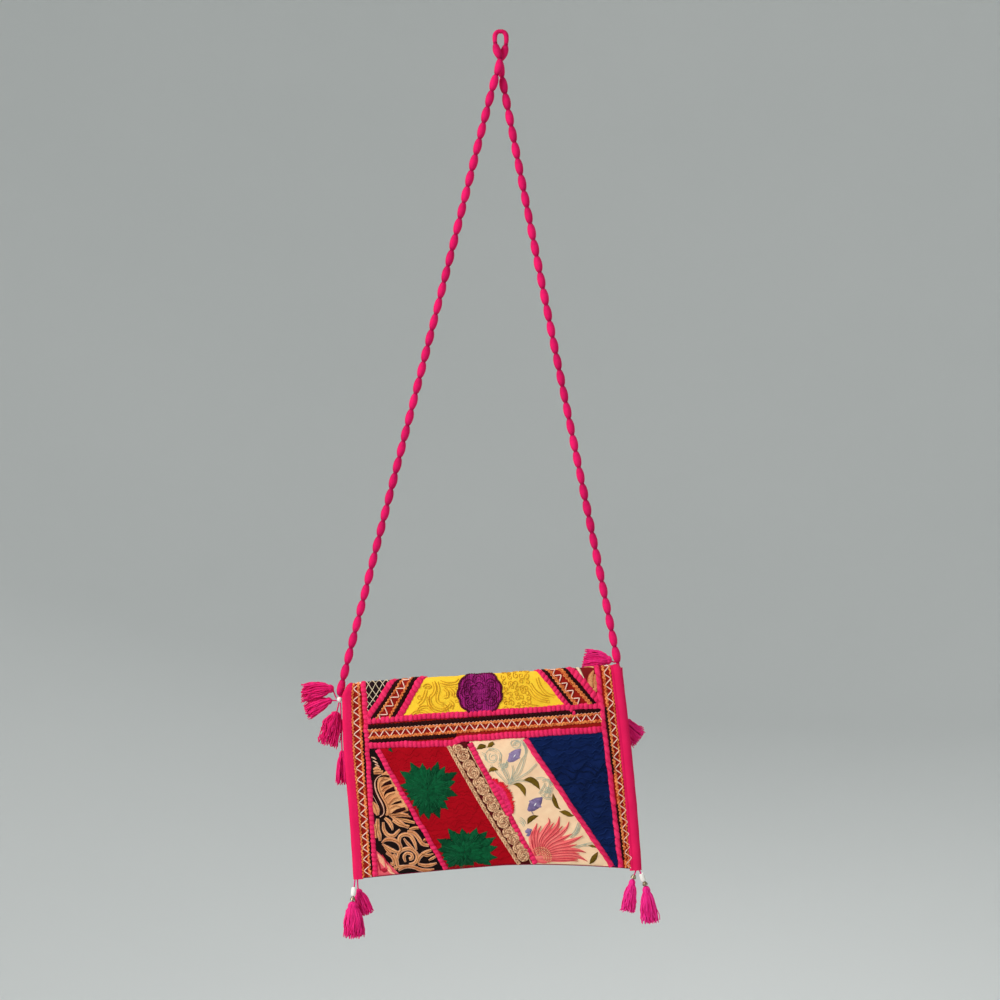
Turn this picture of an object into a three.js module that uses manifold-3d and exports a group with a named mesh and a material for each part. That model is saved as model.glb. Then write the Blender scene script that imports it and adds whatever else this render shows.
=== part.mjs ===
// An embroidered patchwork clutch bag that hangs by a long strap of yarn-wrapped bobbles.
// Millimetres, +Z up, the front of the bag faces -Y, and the origin is where the strap hangs.
import * as THREE from "three";
import { mergeVertices } from "three/addons/utils/BufferGeometryUtils.js";
import Module from "manifold-3d";

const wasm = await Module();
wasm.setup();

// Driving dimensions of the bag. "across" runs right from the middle of the bag and "down" from its top fold.
const BAG_HANGS_AT = new THREE.Vector3(-16.3, -5, -639.8); // middle of the top fold, below the hanging point
const BAG_TILT = THREE.MathUtils.degToRad(3.6); // the right side hangs higher
const FLAP_LENGTH = 200; // from the top fold to the bottom corners
const FOLD_RADIUS = 6.2; // outside of the flap's cloth at the top fold
const TAIL_LENGTH = 34; // flap cloth sewn down behind the pouch, measured from the top of the fold
const WRAP = 6; // how far the patchwork runs over the fold towards the back
const CLOTH = 1.5;
const GAP = 0.3; // between pieces that lie on or beside each other
const FLAP_STANDS_OFF_BACK = GAP + CLOTH; // the tail lies on the outside of the pouch's back
const CROWN = 5.4; // how much the middle of the front swells
const EDGE_DEPTH = 7.2; // front to back at the side edges, low on the bag
const CROWN_HALF_WIDTH = 146;

// Heights of the layers over the flap's cloth
const PATCH = { low: GAP, high: 1.3 };
const TRIM = { low: GAP, high: 1.7 };
const BRAID = { low: GAP, high: 2.6 };
const ROSETTE = { low: PATCH.high + GAP, high: PATCH.high + GAP + 0.8 };

const BINDING_WIDTH = { left: 10, right: 12 };
const HEM_INSET = 1; // patches stop this far above the flap's bottom edge

const POUCH = { halfWidth: 133, mouth: 13, bottom: 185, rim: 2.6 };

const STRAP = { pitch: 16.6, belly: 4.15, neck: 2.3, sides: 10, squeezedSwell: 0.25 };

const COLOURS = {
  hotPink: "#f01c5e",
  braidPink: "#ee2470",
  strapMagenta: "#d00558",
  tasselPink: "#e8107a",
  yellow: "#f5c527",
  purple: "#6a0f5e",
  lattice: "#2a1420",
  leafCorner: "#c9a24a",
  red: "#a00016",
  green: "#0a5432",
  scroll: "#b9813f",
  salmon: "#d8563f",
  cream: "#f3d9b5",
  navy: "#0b1c4f",
  zigzag: "#a8391c",
  rope: "#ddb088",
  lining: "#8f1238",
  bead: "#f4efe6",
  metal: "#8f8578",
};

const FOLD_RUN = (FOLD_RADIUS * Math.PI) / 2; // from the top of the fold to where the front starts

// The flap's outer cloth surface

function frontDepth(across, down) {
  const x = (down - FOLD_RADIUS) / FLAP_LENGTH;
  const start = 2 * FOLD_RADIUS - FLAP_STANDS_OFF_BACK;
  const middle = start + CROWN * Math.sin(Math.PI * x) - 0.8 * x;
  const edge = EDGE_DEPTH + (start - EDGE_DEPTH) * (1 - x) ** 2;
  return edge + (middle - edge) * (1 - (across / CROWN_HALF_WIDTH) ** 2);
}

// The run along the cloth, over the fold, for a distance down the front as it is seen
function runAt(down) {
  if (down >= FOLD_RADIUS) return down - FOLD_RADIUS + FOLD_RUN;
  return FOLD_RADIUS * Math.acos(1 - down / FOLD_RADIUS);
}

function downAt(run) {
  if (run >= FOLD_RUN) return run - FOLD_RUN + FOLD_RADIUS;
  return FOLD_RADIUS * (1 - Math.cos(Math.max(run, 0) / FOLD_RADIUS));
}

// A point at a height over the flap's cloth, in the bag's own frame
function onFlap(across, run, height) {
  if (run >= FOLD_RUN) {
    const down = downAt(run);
    return new THREE.Vector3(across, -frontDepth(across, down) - height, -down);
  }
  if (run <= -FOLD_RUN) {
    return new THREE.Vector3(across, FLAP_STANDS_OFF_BACK + height, FOLD_RUN - FOLD_RADIUS + run);
  }
  const turn = run / FOLD_RADIUS;
  const reach = FOLD_RADIUS + height;
  const y = FLAP_STANDS_OFF_BACK - FOLD_RADIUS - reach * Math.sin(turn);
  return new THREE.Vector3(across, y, reach * Math.cos(turn) - FOLD_RADIUS);
}

// The left edge is rounded in at the top corner and swells out above the middle.
const leftEdge = (down) =>
  -140.6 - 2 * (1 - Math.exp(-down / 14)) - 1.6 * Math.exp(-(((down - 65) / 45) ** 2));
const rightEdge = (down) => 138.1 + 7.3 * (1 - Math.max(1 - down / FLAP_LENGTH, 0) ** 1.8);

// The bottom edge is arched, highest a little right of the middle and lowest at the right corner.
function bottomEdge(across) {
  const from = across - 7;
  return from < 0 ? 190.1 + 5 * (-from / 149) ** 1.5 : 190.1 + 13.6 * (from / 138) ** 1.6;
}

// Grid lines that every piece on the flap shares, so that stacked pieces stay parallel
const ACROSS_LINES = Array.from({ length: 11 }, (_, i) => -150 + 30 * i);
const FOLD_STEPS = Array.from({ length: 9 }, (_, i) => FOLD_RUN * (i / 4 - 1));
const FRONT_STEPS = [13, 28, 60, 95, 130, 165, 210].map((step) => FOLD_RUN + step);
const RUN_LINES = [-TAIL_LENGTH, ...FOLD_STEPS, ...FRONT_STEPS];

function clip(polygon, inside) {
  const kept = [];
  polygon.forEach((p, i) => {
    const q = polygon[(i + 1) % polygon.length];
    const a = inside(p);
    const b = inside(q);
    if (a >= 0) kept.push(p);
    if (a * b < 0) {
      const share = a / (a - b);
      kept.push([p[0] + share * (q[0] - p[0]), p[1] + share * (q[1] - p[1])]);
    }
  });
  return kept;
}

// A mesh of points that its triangles share
function closedGeometry(points, triangles) {
  const geometry = new THREE.BufferGeometry().setFromPoints(points);
  geometry.setIndex(triangles.flat());
  return geometry;
}

// A sheet of cells in (across, run) becomes a solid between two heights over the flap.
function solidFromCells(cells, low, high) {
  const keys = new Map();
  const flat = [];
  const indexOf = ([across, run]) => {
    const key = `${Math.round(across * 1000)},${Math.round(run * 1000)}`;
    if (!keys.has(key)) {
      keys.set(key, flat.length);
      flat.push([across, run]);
    }
    return keys.get(key);
  };
  const faces = [];
  for (const cell of cells) {
    const loop = cell.map(indexOf).filter((v, i, all) => v !== all[(i + 1) % all.length]);
    for (let i = 1; i + 1 < loop.length; i++) faces.push([loop[0], loop[i], loop[i + 1]]);
  }
  const count = flat.length;
  const points = [high, low].flatMap((height) => flat.map(([across, run]) => onFlap(across, run, height)));
  const triangles = [];
  const edges = new Set(faces.flatMap(([a, b, c]) => [`${a},${b}`, `${b},${c}`, `${c},${a}`]));
  for (const [a, b, c] of faces) {
    triangles.push([a, b, c], [a + count, c + count, b + count]);
    for (const [p, q] of [[a, b], [b, c], [c, a]]) {
      if (!edges.has(`${q},${p}`)) triangles.push([p + count, q + count, q], [p + count, q, p]);
    }
  }
  return closedGeometry(points, triangles);
}

// Turned so that the faces point out of the flap: clockwise in (across, run), because run goes down.
function facingOut(polygon) {
  const area = polygon.reduce((sum, [s, t], i) => {
    const [s2, t2] = polygon[(i + 1) % polygon.length];
    return sum + s * t2 - s2 * t;
  }, 0);
  return area > 0 ? [...polygon].reverse() : polygon;
}

// A convex outline laid on the flap, cut along the grid lines and stopped above the bottom edge
function panel(outline, { low, high }, hemInset = HEM_INSET) {
  const cells = [];
  for (let i = 0; i + 1 < ACROSS_LINES.length; i++) {
    const [s0, s1] = [ACROSS_LINES[i], ACROSS_LINES[i + 1]];
    const hem0 = runAt(bottomEdge(s0)) - hemInset;
    const hem1 = runAt(bottomEdge(s1)) - hemInset;
    let column = clip(facingOut(outline), (p) => p[0] - s0);
    column = clip(column, (p) => s1 - p[0]);
    column = clip(column, (p) => hem0 + ((hem1 - hem0) * (p[0] - s0)) / (s1 - s0) - p[1]);
    for (let j = 0; j + 1 < RUN_LINES.length; j++) {
      let cell = clip(column, (p) => p[1] - RUN_LINES[j]);
      cell = clip(cell, (p) => RUN_LINES[j + 1] - p[1]);
      if (cell.length > 2) cells.push(cell);
    }
  }
  return solidFromCells(cells, low, high);
}

// Seams between the patches: straight lines from one (across, down) point to another, with the width
// of the braid that covers each of them. The rope edge and the corner seam have no braid.
const SEAMS = {
  left: { from: [-120, 0], to: [-120.4, 194], width: 5 },
  right: { from: [113.3, 0], to: [124, 193.5], width: 5 },
  upper: { from: [-116, 39.4], to: [114, 36.8], width: 6 },
  lower: { from: [-116, 64.6], to: [116, 61.6], width: 6.5 },
  slantLeftOuter: { from: [-88.8, 0], to: [-114.9, 31.1], width: 6 },
  slantLeftInner: { from: [-61.3, 0], to: [-86.6, 35.8], width: 7 },
  slantRightInner: { from: [54.5, 0], to: [81.3, 34.4], width: 5 },
  slantRightOuter: { from: [85.7, 0], to: [112.6, 31.3], width: 7 },
  lowLeft: { from: [-111, 65.4], to: [-48.8, 191.5], width: 5 },
  lowMiddle: { from: [-16.1, 70.3], to: [40.4, 191.1], width: 5.5 },
  lowRight: { from: [37.3, 64.7], to: [115.2, 196.8], width: 5.5 },
  ropeEdge: { from: [-38.7, 69.9], to: [22.5, 189], width: 0 },
  cornerSeam: { from: [-117.5, 166.2], to: [-95.9, 191.6], width: 0 },
};

// Distance of an (across, run) point from a seam, positive to the right of a seam that runs down
// and above a seam that runs right
function offSeam({ from, to }, [across, run]) {
  const [s0, t0] = [from[0], runAt(from[1])];
  const [ds, dt] = [to[0] - s0, runAt(to[1]) - t0];
  return ((across - s0) * dt - (run - t0) * ds) / Math.hypot(ds, dt);
}

const rightOf = (name) => (p) => offSeam(SEAMS[name], p) - SEAMS[name].width / 2 - GAP / 2;
const leftOf = (name) => (p) => -offSeam(SEAMS[name], p) - SEAMS[name].width / 2 - GAP / 2;
const above = rightOf;
const below = leftOf;

const WHOLE_FLAP = [
  [-150, -WRAP],
  [150, -WRAP],
  [150, 220],
  [-150, 220],
];

const region = (...sides) => sides.reduce(clip, WHOLE_FLAP);

// The braid that covers a seam, between the pieces that it runs up to
function braidOutline(name, ...stops) {
  const half = SEAMS[name].width / 2 - GAP / 2;
  const along = [(p) => half - offSeam(SEAMS[name], p), (p) => half + offSeam(SEAMS[name], p)];
  return region(...along, ...stops);
}

// The flap inwards of a side binding, as an outline that follows the tape to the middle of the bag
function besideBinding(edge, inwards, width) {
  const runs = [-WRAP, ...RUN_LINES.filter((run) => run > -WRAP)];
  const alongTape = runs.map((run) => [edge(downAt(run)) + inwards * (width + GAP), run]);
  return [...alongTape, [0, runs.at(-1)], [0, runs[0]]];
}

// The flap's cloth reaches into the fold of the bindings.
function flap() {
  const intoBinding = 3;
  const outline = [];
  const rows = RUN_LINES.filter((run) => run <= runAt(FLAP_LENGTH));
  const last = runAt(FLAP_LENGTH + 6);
  for (const run of [...rows, last]) outline.push([rightEdge(downAt(run)) - intoBinding, run]);
  for (const run of [last, ...rows.reverse()]) outline.push([leftEdge(downAt(run)) + intoBinding, run]);
  return panel(outline, { low: -CLOTH, high: 0 }, 0);
}

// A folded tape round the flap's side edge: the section runs in from the edge and up over the cloth.
function binding(edge, inwards, width) {
  const section = [
    { inside: width, height: GAP },
    { inside: width, height: 1.7 },
    { inside: width - 3.4, height: 2.7 },
    { inside: 2.2, height: 2.5 },
    { inside: 0, height: -0.3 },
    { inside: 1.6, height: -3 },
    { inside: 8.8, height: -3 },
    { inside: 8.8, height: -CLOTH - GAP },
    { inside: 2.4, height: -CLOTH - GAP },
    { inside: 2.4, height: GAP },
  ];
  const end = runAt(bottomEdge(edge(FLAP_LENGTH)));
  const runs = [-WRAP, ...RUN_LINES.filter((run) => run > -WRAP && run < end - 8), end];
  const points = runs.flatMap((run) =>
    section.map(({ inside, height }) => onFlap(edge(downAt(run)) + inwards * inside, run, height)),
  );
  return sweptRings(points, section.length, runs.length, inwards < 0);
}

// Rings of equally many points joined into a tube. Each end is closed as a flat polygon.
function sweptRings(points, around, rings, turnedRound) {
  const triangles = [];
  for (let r = 0; r + 1 < rings; r++) {
    for (let i = 0; i < around; i++) {
      const [a, b] = [r * around + i, r * around + ((i + 1) % around)];
      triangles.push([a, b, b + around], [a, b + around, a + around]);
    }
  }
  const last = (rings - 1) * around;
  for (const [a, b, c] of flatTriangles(points.slice(0, around))) {
    triangles.push([a, c, b], [last + a, last + b, last + c]);
  }
  return closedGeometry(points, turnedRound ? triangles.map(([a, b, c]) => [a, c, b]) : triangles);
}

// Triangles of a ring that may be hollowed out on one side, wound the way that the ring runs
function flatTriangles(ring) {
  const centre = ring.reduce((sum, p) => sum.add(p), new THREE.Vector3()).divideScalar(ring.length);
  const normal = new THREE.Vector3();
  ring.forEach((p, i) => {
    const q = ring[(i + 1) % ring.length];
    normal.add(p.clone().sub(centre).cross(q.clone().sub(centre)));
  });
  const along = ring[1].clone().sub(ring[0]).normalize();
  const beside = normal.normalize().clone().cross(along);
  const contour = ring.map((p) => {
    const from = p.clone().sub(centre);
    return new THREE.Vector2(from.dot(along), from.dot(beside));
  });
  return THREE.ShapeUtils.triangulateShape(contour, []);
}

// The pouch: a flat back and a swelling front sewn together at the sides and the bottom, open at the top

function pouchShape(wall, mouth) {
  const bottom = POUCH.bottom - wall;
  const half = POUCH.halfWidth - 2 * wall;
  const arcSteps = 10;
  const levels = [mouth, 45, 80, 115, 150, 174, bottom];
  const points = levels.flatMap((down) => {
    const closing = Math.min(1, (bottom + 4 - down) / 40) ** 0.5;
    return Array.from({ length: arcSteps + 1 }, (_, i) => {
      const across = half * (1 - (2 * i) / arcSteps);
      const room = frontDepth(across, Math.max(down, FOLD_RADIUS)) - CLOTH - 3 * GAP;
      const full = 1 - Math.abs(across / half) ** 3;
      const front = Math.max(POUCH.rim + (room - POUCH.rim) * full * closing - wall, wall + 0.05);
      return new THREE.Vector3(across, -front, -down);
    }).concat([new THREE.Vector3(-half, -wall, -down), new THREE.Vector3(half, -wall, -down)]);
  });
  return sweptRings(points, arcSteps + 3, levels.length, false);
}

function solidOf(geometry) {
  const bare = geometry.clone();
  bare.deleteAttribute("normal");
  bare.deleteAttribute("uv");
  const merged = mergeVertices(bare, 1e-3);
  return new wasm.Manifold(
    new wasm.Mesh({
      numProp: 3,
      vertProperties: new Float32Array(merged.attributes.position.array),
      triVerts: new Uint32Array(merged.index.array),
    }),
  );
}

function geometryOf(solid) {
  const { numProp, vertProperties, triVerts } = solid.getMesh();
  const geometry = new THREE.BufferGeometry();
  const positions = [];
  for (let i = 0; i < vertProperties.length; i += numProp) positions.push(...vertProperties.slice(i, i + 3));
  geometry.setAttribute("position", new THREE.Float32BufferAttribute(positions, 3));
  geometry.setIndex(Array.from(triVerts));
  return geometry;
}

function pouch() {
  const outside = solidOf(pouchShape(0, POUCH.mouth));
  const inside = solidOf(pouchShape(CLOTH, POUCH.mouth - 8));
  return geometryOf(outside.subtract(inside));
}

// A rosette of pointed petals, with its tips and hollows on two radii, cut off at the sides of its patch
// and above the bottom edge
function rosette({ across, down, radius, petals }, sides) {
  const hub = [across, runAt(down)];
  const hem = [-radius, radius].map((side) => runAt(bottomEdge(across + side)) - 2 * HEM_INSET);
  const aboveHem = ([s, run]) => hem[0] + ((hem[1] - hem[0]) * (s - across + radius)) / (2 * radius) - run;
  const ringAt = (share) =>
    Array.from({ length: 2 * petals }, (_, i) => {
      const turn = (Math.PI * i) / petals;
      const reach = radius * share * (i % 2 ? 1 : 0.74);
      return [hub[0] + reach * Math.cos(turn), hub[1] + reach * Math.sin(turn)];
    });
  const [inner, outer] = [ringAt(0.5), ringAt(1)];
  const cells = inner.flatMap((p, i) => {
    const j = (i + 1) % inner.length;
    return [[hub, p, inner[j]], [p, outer[i], outer[j]], [p, outer[j], inner[j]]];
  });
  const kept = cells.map((cell) => [...sides, aboveHem].reduce(clip, facingOut(cell)));
  return solidFromCells(kept.filter((cell) => cell.length > 2), ROSETTE.low, ROSETTE.high);
}

// The round rosette on the yellow patch runs over the fold at its top and under the upper braid.
function roundRosette({ across, down, radius, sides }) {
  const middle = runAt(down);
  const circle = Array.from({ length: sides }, (_, i) => {
    const turn = (2 * Math.PI * i) / sides;
    return [across + radius * Math.cos(turn), middle + radius * Math.sin(turn)];
  });
  return panel(clip(circle, above("upper")), ROSETTE);
}

// A strand of bobbles along a curve: each is one swelling of yarn between two tied necks. The first one
// is squeezed thin where the strap bends over what it hangs from.
const BOBBLE_RINGS = [
  { phase: 0, swell: 0 },
  { phase: 0.27, swell: 0.94 },
  { phase: 0.73, swell: 0.94 },
];

function strand(route) {
  const curve = new THREE.CatmullRomCurve3(route.map((p) => new THREE.Vector3(...p)), false, "centripetal");
  curve.arcLengthDivisions = 1000;
  const bobbles = Math.round(curve.getLength() / STRAP.pitch);
  const stations = [];
  for (let b = 0; b < bobbles; b++) {
    const squeeze = b === 0 ? STRAP.squeezedSwell : 1;
    for (const { phase, swell } of BOBBLE_RINGS) {
      stations.push({ share: (b + phase) / bobbles, swell: squeeze * swell });
    }
  }
  stations.push({ share: 1, swell: 0 });
  const depth = new THREE.Vector3(0, 1, 0);
  const points = stations.flatMap(({ share, swell }) => {
    const centre = curve.getPointAt(share);
    const side = curve.getTangentAt(share).cross(depth).normalize();
    const front = curve.getTangentAt(share).cross(side).normalize();
    const radius = STRAP.neck + (STRAP.belly - STRAP.neck) * swell;
    return Array.from({ length: STRAP.sides }, (_, i) => {
      const turn = (2 * Math.PI * i) / STRAP.sides;
      const out = side.clone().multiplyScalar(Math.cos(turn)).addScaledVector(front, Math.sin(turn));
      return centre.clone().addScaledVector(out, radius);
    });
  });
  return sweptRings(points, STRAP.sides, stations.length, false);
}

// Routes of the two strands, from the top of the hanging loop to the top corners of the bag (x, y, z)
const LEFT_ROUTE = [
  [0.4, 0, 5.6],
  [-1.6, -0.1, 5.4],
  [-4.5, -0.4, 2.8],
  [-5.2, -1.4, -3],
  [-3.6, -3.4, -13],
  [-0.6, -4.5, -22],
  [-0.8, -4.5, -30],
  [-5, -3.8, -43],
  [-58.5, -2, -255],
  [-128.3, -0.4, -529],
  [-160, 0, -655],
  [-161.3, 0, -661.5],
];
const RIGHT_ROUTE = [
  [0.8, 0, 5.6],
  [2.8, 0.1, 5.4],
  [5.7, 0.4, 2.8],
  [6.4, 1.4, -3],
  [4.6, 3.4, -13],
  [1, 4.5, -22],
  [0.6, 4.5, -30],
  [3, 4.2, -45],
  [43.2, 2, -253],
  [101.8, 0.4, -545],
  [116.6, 0, -620],
  [118.2, 0, -628.5],
];

// A tassel: a thread from its anchor to its neck, a tied head and a skirt of locks from neck to tip.
// The rings have a share of the skirt's length and of its spread, and the grooves between the locks deepen.
const SKIRT_RINGS = [
  { along: 0.02, spread: 0.2, groove: 0 },
  { along: 0.09, spread: 0.34, groove: 0 },
  { along: 0.17, spread: 0.26, groove: 0.03 },
  { along: 0.4, spread: 0.62, groove: 0.14 },
  { along: 0.72, spread: 0.88, groove: 0.26 },
  { along: 0.97, spread: 1, groove: 0.36 },
];
const THREAD_RADIUS = 0.7;

// The way of a tassel's thread in the bag's own frame: it is tied on at tiedAt and hangs at depth.
function threadOf({ anchor, neck, depth, tiedAt = depth }) {
  return new THREE.Line3(
    new THREE.Vector3(anchor[0], tiedAt, -anchor[1]),
    new THREE.Vector3(neck[0], depth, -neck[1]),
  );
}

function tassel(sizes) {
  const { tip, depth, spread, flat, locks = 5 } = sizes;
  const { start, end: middle } = threadOf(sizes);
  const end = new THREE.Vector3(tip[0], depth, -tip[1]);
  const back = new THREE.Vector3(0, 1, 0);
  const ring = (centre, axis, radius, flatness, groove, ragged) => {
    const side = back.clone().cross(axis).normalize();
    return Array.from({ length: 2 * locks }, (_, i) => {
      const turn = (Math.PI * i) / locks;
      const reach = radius * (i % 2 ? 1 - groove : 1);
      return centre
        .clone()
        .addScaledVector(side, reach * Math.cos(turn))
        .addScaledVector(back, reach * flatness * Math.sin(turn))
        .addScaledVector(axis, ragged * Math.sin(2.3 * i + 1));
    });
  };
  const thread = middle.clone().sub(start).normalize();
  const skirt = end.clone().sub(middle);
  const axis = skirt.clone().normalize();
  const points = [
    ...ring(start, thread, THREAD_RADIUS, 1, 0, 0),
    ...ring(middle.clone().addScaledVector(thread, -1), thread, THREAD_RADIUS, 1, 0, 0),
  ];
  SKIRT_RINGS.forEach(({ along, spread: share, groove }, i) => {
    const ragged = i === SKIRT_RINGS.length - 1 ? 0.03 * skirt.length() : 0;
    const flatness = THREE.MathUtils.lerp(1, flat, along);
    const centre = middle.clone().addScaledVector(skirt, along);
    points.push(...ring(centre, axis, spread * share, flatness, groove, ragged));
  });
  return sweptRings(points, 2 * locks, SKIRT_RINGS.length + 2, false);
}

// Places are (across, down) on the bag, and flat is the depth of the skirt as a share of its width.
const TASSELS = {
  tassel_left_upper: {
    anchor: [-149.2, 15.2], neck: [-151.6, 5], tip: [-184.3, 3.6], depth: 5, spread: 9.3, flat: 0.5,
  },
  tassel_left_lower: {
    anchor: [-149, 17.4], neck: [-154.4, 16.2], tip: [-181.2, 23], depth: 5, spread: 7.5, flat: 0.5,
  },
  tassel_left_hanging: {
    anchor: [-146.8, 19.3], neck: [-149.8, 28.9], tip: [-160.9, 62.2], depth: 5, spread: 10.5, flat: 0.45,
  },
  tassel_left_long: {
    anchor: [-145.2, 19.4], neck: [-146.8, 68], tip: [-149.2, 102], depth: 4, spread: 6, flat: 0.55,
  },
  tassel_right_top: {
    anchor: [132.3, -3.2], neck: [128.6, -5.2], tip: [100.5, -12.4], depth: 6.8, spread: 9.5, flat: 0.4,
  },
  tassel_right_side: {
    anchor: [135.5, 21.3], neck: [129.7, 53.4], tip: [152.5, 72.9], depth: 3.4, spread: 9.6, flat: 0.3,
  },
  tassel_corner_left_front: {
    anchor: [-141, 195.6], neck: [-144.6, 217], tip: [-144.6, 252.6],
    tiedAt: -7.5, depth: -11, spread: 9.8, flat: 0.7,
  },
  tassel_corner_left_back: {
    anchor: [-137.6, 195.6], neck: [-136, 207], tip: [-131, 232.8],
    tiedAt: -6, depth: 0, spread: 8, flat: 0.5,
  },
  tassel_corner_right_inner: {
    anchor: [139.4, 204.2], neck: [135.6, 213.4], tip: [128.7, 245],
    tiedAt: -6, depth: -5, spread: 8, flat: 0.6,
  },
  tassel_corner_right_outer: {
    anchor: [143.1, 204.2], neck: [148.4, 220.6], tip: [150.6, 257.2],
    tiedAt: -7.5, depth: -7, spread: 9.8, flat: 0.7,
  },
};

// Drilled white beads and small metal caps on the tassel threads, at a distance back from the neck
const THREAD_HOLE = THREAD_RADIUS + GAP;
const BEAD = { radius: 2.7, colour: "bead" };
const CAP = { back: 3.4, length: 3.8, radius: 2.7, colour: "metal" };
const ON_THREADS = {
  bead_corner_left: { on: "tassel_corner_left_front", back: 10.4, length: 9, ...BEAD },
  bead_corner_right: { on: "tassel_corner_right_outer", back: 9.8, length: 8.6, ...BEAD },
  cap_corner_left: { on: "tassel_corner_left_front", ...CAP },
  cap_corner_right_inner: { on: "tassel_corner_right_inner", ...CAP },
  cap_corner_right_outer: { on: "tassel_corner_right_outer", ...CAP },
};

function drilledBead(length, radius) {
  const half = length / 2;
  const rounding = Math.min(1, half / 2);
  const profile = [
    [THREAD_HOLE, -half],
    [radius - rounding, -half],
    [radius, -half + rounding],
    [radius, half - rounding],
    [radius - rounding, half],
    [THREAD_HOLE, half],
    [THREAD_HOLE, -half],
  ];
  return new THREE.LatheGeometry(profile.map(([r, h]) => new THREE.Vector2(r, h)), 10);
}

// A folded cloth tab behind the flap that carries a strap end: corners in (across, down)
const TAB_THICKNESS = 3.9;

function tab(corners) {
  const shape = new THREE.Shape(corners.map(([across, down]) => new THREE.Vector2(across, -down)));
  return new THREE.ExtrudeGeometry(shape, { depth: TAB_THICKNESS, bevelEnabled: false });
}

function mesh(name, geometry, colour, { roughness = 0.85, metalness = 0 } = {}) {
  const made = new THREE.Mesh(
    geometry,
    new THREE.MeshStandardMaterial({ color: COLOURS[colour], roughness, metalness }),
  );
  made.name = name;
  return made;
}

// The bag in its own frame

const bag = new THREE.Group();
bag.position.copy(BAG_HANGS_AT);
bag.rotation.y = -BAG_TILT;

bag.add(
  mesh("pouch", pouch(), "lining"),
  mesh("flap", flap(), "lining"),
  mesh("binding_left", binding(leftEdge, 1, BINDING_WIDTH.left), "hotPink"),
  mesh("binding_right", binding(rightEdge, -1, BINDING_WIDTH.right), "hotPink"),
);

const PATCHES = {
  lattice_patch: { colour: "lattice", sides: [rightOf("left"), leftOf("slantLeftOuter")] },
  yellow_patch: {
    colour: "yellow",
    sides: [rightOf("slantLeftInner"), leftOf("slantRightInner"), above("upper")],
  },
  leaf_patch: { colour: "leafCorner", sides: [rightOf("slantRightOuter"), leftOf("right")] },
  scroll_patch: {
    colour: "scroll",
    sides: [rightOf("left"), leftOf("lowLeft"), below("lower"), rightOf("cornerSeam")],
  },
  salmon_patch: { colour: "salmon", sides: [rightOf("left"), leftOf("cornerSeam")] },
  red_patch: { colour: "red", sides: [rightOf("lowLeft"), leftOf("ropeEdge"), below("lower")] },
  cream_patch: { colour: "cream", sides: [rightOf("lowMiddle"), leftOf("lowRight"), below("lower")] },
  navy_patch: { colour: "navy", sides: [rightOf("lowRight"), leftOf("right"), below("lower")] },
};
for (const [name, { colour, sides }] of Object.entries(PATCHES)) {
  bag.add(mesh(name, panel(region(...sides), PATCH), colour));
}

const TRIMS = {
  trim_left: {
    colour: "zigzag",
    within: besideBinding(leftEdge, 1, BINDING_WIDTH.left),
    sides: [leftOf("left")],
  },
  trim_right: {
    colour: "zigzag",
    within: besideBinding(rightEdge, -1, BINDING_WIDTH.right),
    sides: [rightOf("right")],
  },
  trim_across: {
    colour: "zigzag",
    sides: [rightOf("left"), leftOf("right"), below("upper"), above("lower")],
  },
  trim_slant_left: {
    colour: "zigzag",
    sides: [rightOf("slantLeftOuter"), leftOf("slantLeftInner"), above("upper"), rightOf("left")],
  },
  trim_slant_right: {
    colour: "zigzag",
    sides: [rightOf("slantRightInner"), leftOf("slantRightOuter"), above("upper"), leftOf("right")],
  },
  trim_rope: { colour: "rope", sides: [rightOf("ropeEdge"), leftOf("lowMiddle"), below("lower")] },
};
for (const [name, { colour, sides, within = WHOLE_FLAP }] of Object.entries(TRIMS)) {
  bag.add(mesh(name, panel(sides.reduce(clip, within), TRIM), colour));
}

const BRAIDS = {
  braid_left: { seam: "left", stops: [] },
  braid_right: { seam: "right", stops: [] },
  braid_upper: { seam: "upper", stops: [rightOf("left"), leftOf("right")] },
  braid_lower: { seam: "lower", stops: [rightOf("left"), leftOf("right")] },
  braid_slant_left_outer: { seam: "slantLeftOuter", stops: [rightOf("left"), above("upper")] },
  braid_slant_left_inner: { seam: "slantLeftInner", stops: [above("upper")] },
  braid_slant_right_inner: { seam: "slantRightInner", stops: [above("upper")] },
  braid_slant_right_outer: { seam: "slantRightOuter", stops: [leftOf("right"), above("upper")] },
  braid_low_left: { seam: "lowLeft", stops: [rightOf("left"), below("lower")] },
  braid_low_middle: { seam: "lowMiddle", stops: [below("lower")] },
  braid_low_right: { seam: "lowRight", stops: [below("lower"), leftOf("right")] },
};
for (const [name, { seam, stops }] of Object.entries(BRAIDS)) {
  bag.add(mesh(name, panel(braidOutline(seam, ...stops), BRAID), "braidPink"));
}

bag.add(
  mesh("purple_rosette", roundRosette({ across: -4.8, down: 16.9, radius: 22.5, sides: 18 }), "purple"),
);
const GREEN_ROSETTES = {
  green_rosette_upper: { across: -62.7, down: 110.5, radius: 29, petals: 12 },
  green_rosette_lower: { across: -29.8, down: 175.7, radius: 29, petals: 12 },
};
for (const [name, sizes] of Object.entries(GREEN_ROSETTES)) {
  bag.add(mesh(name, rosette(sizes, PATCHES.red_patch.sides), "green"));
}

for (const [name, sizes] of Object.entries(TASSELS)) bag.add(mesh(name, tassel(sizes), "tasselPink"));

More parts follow.
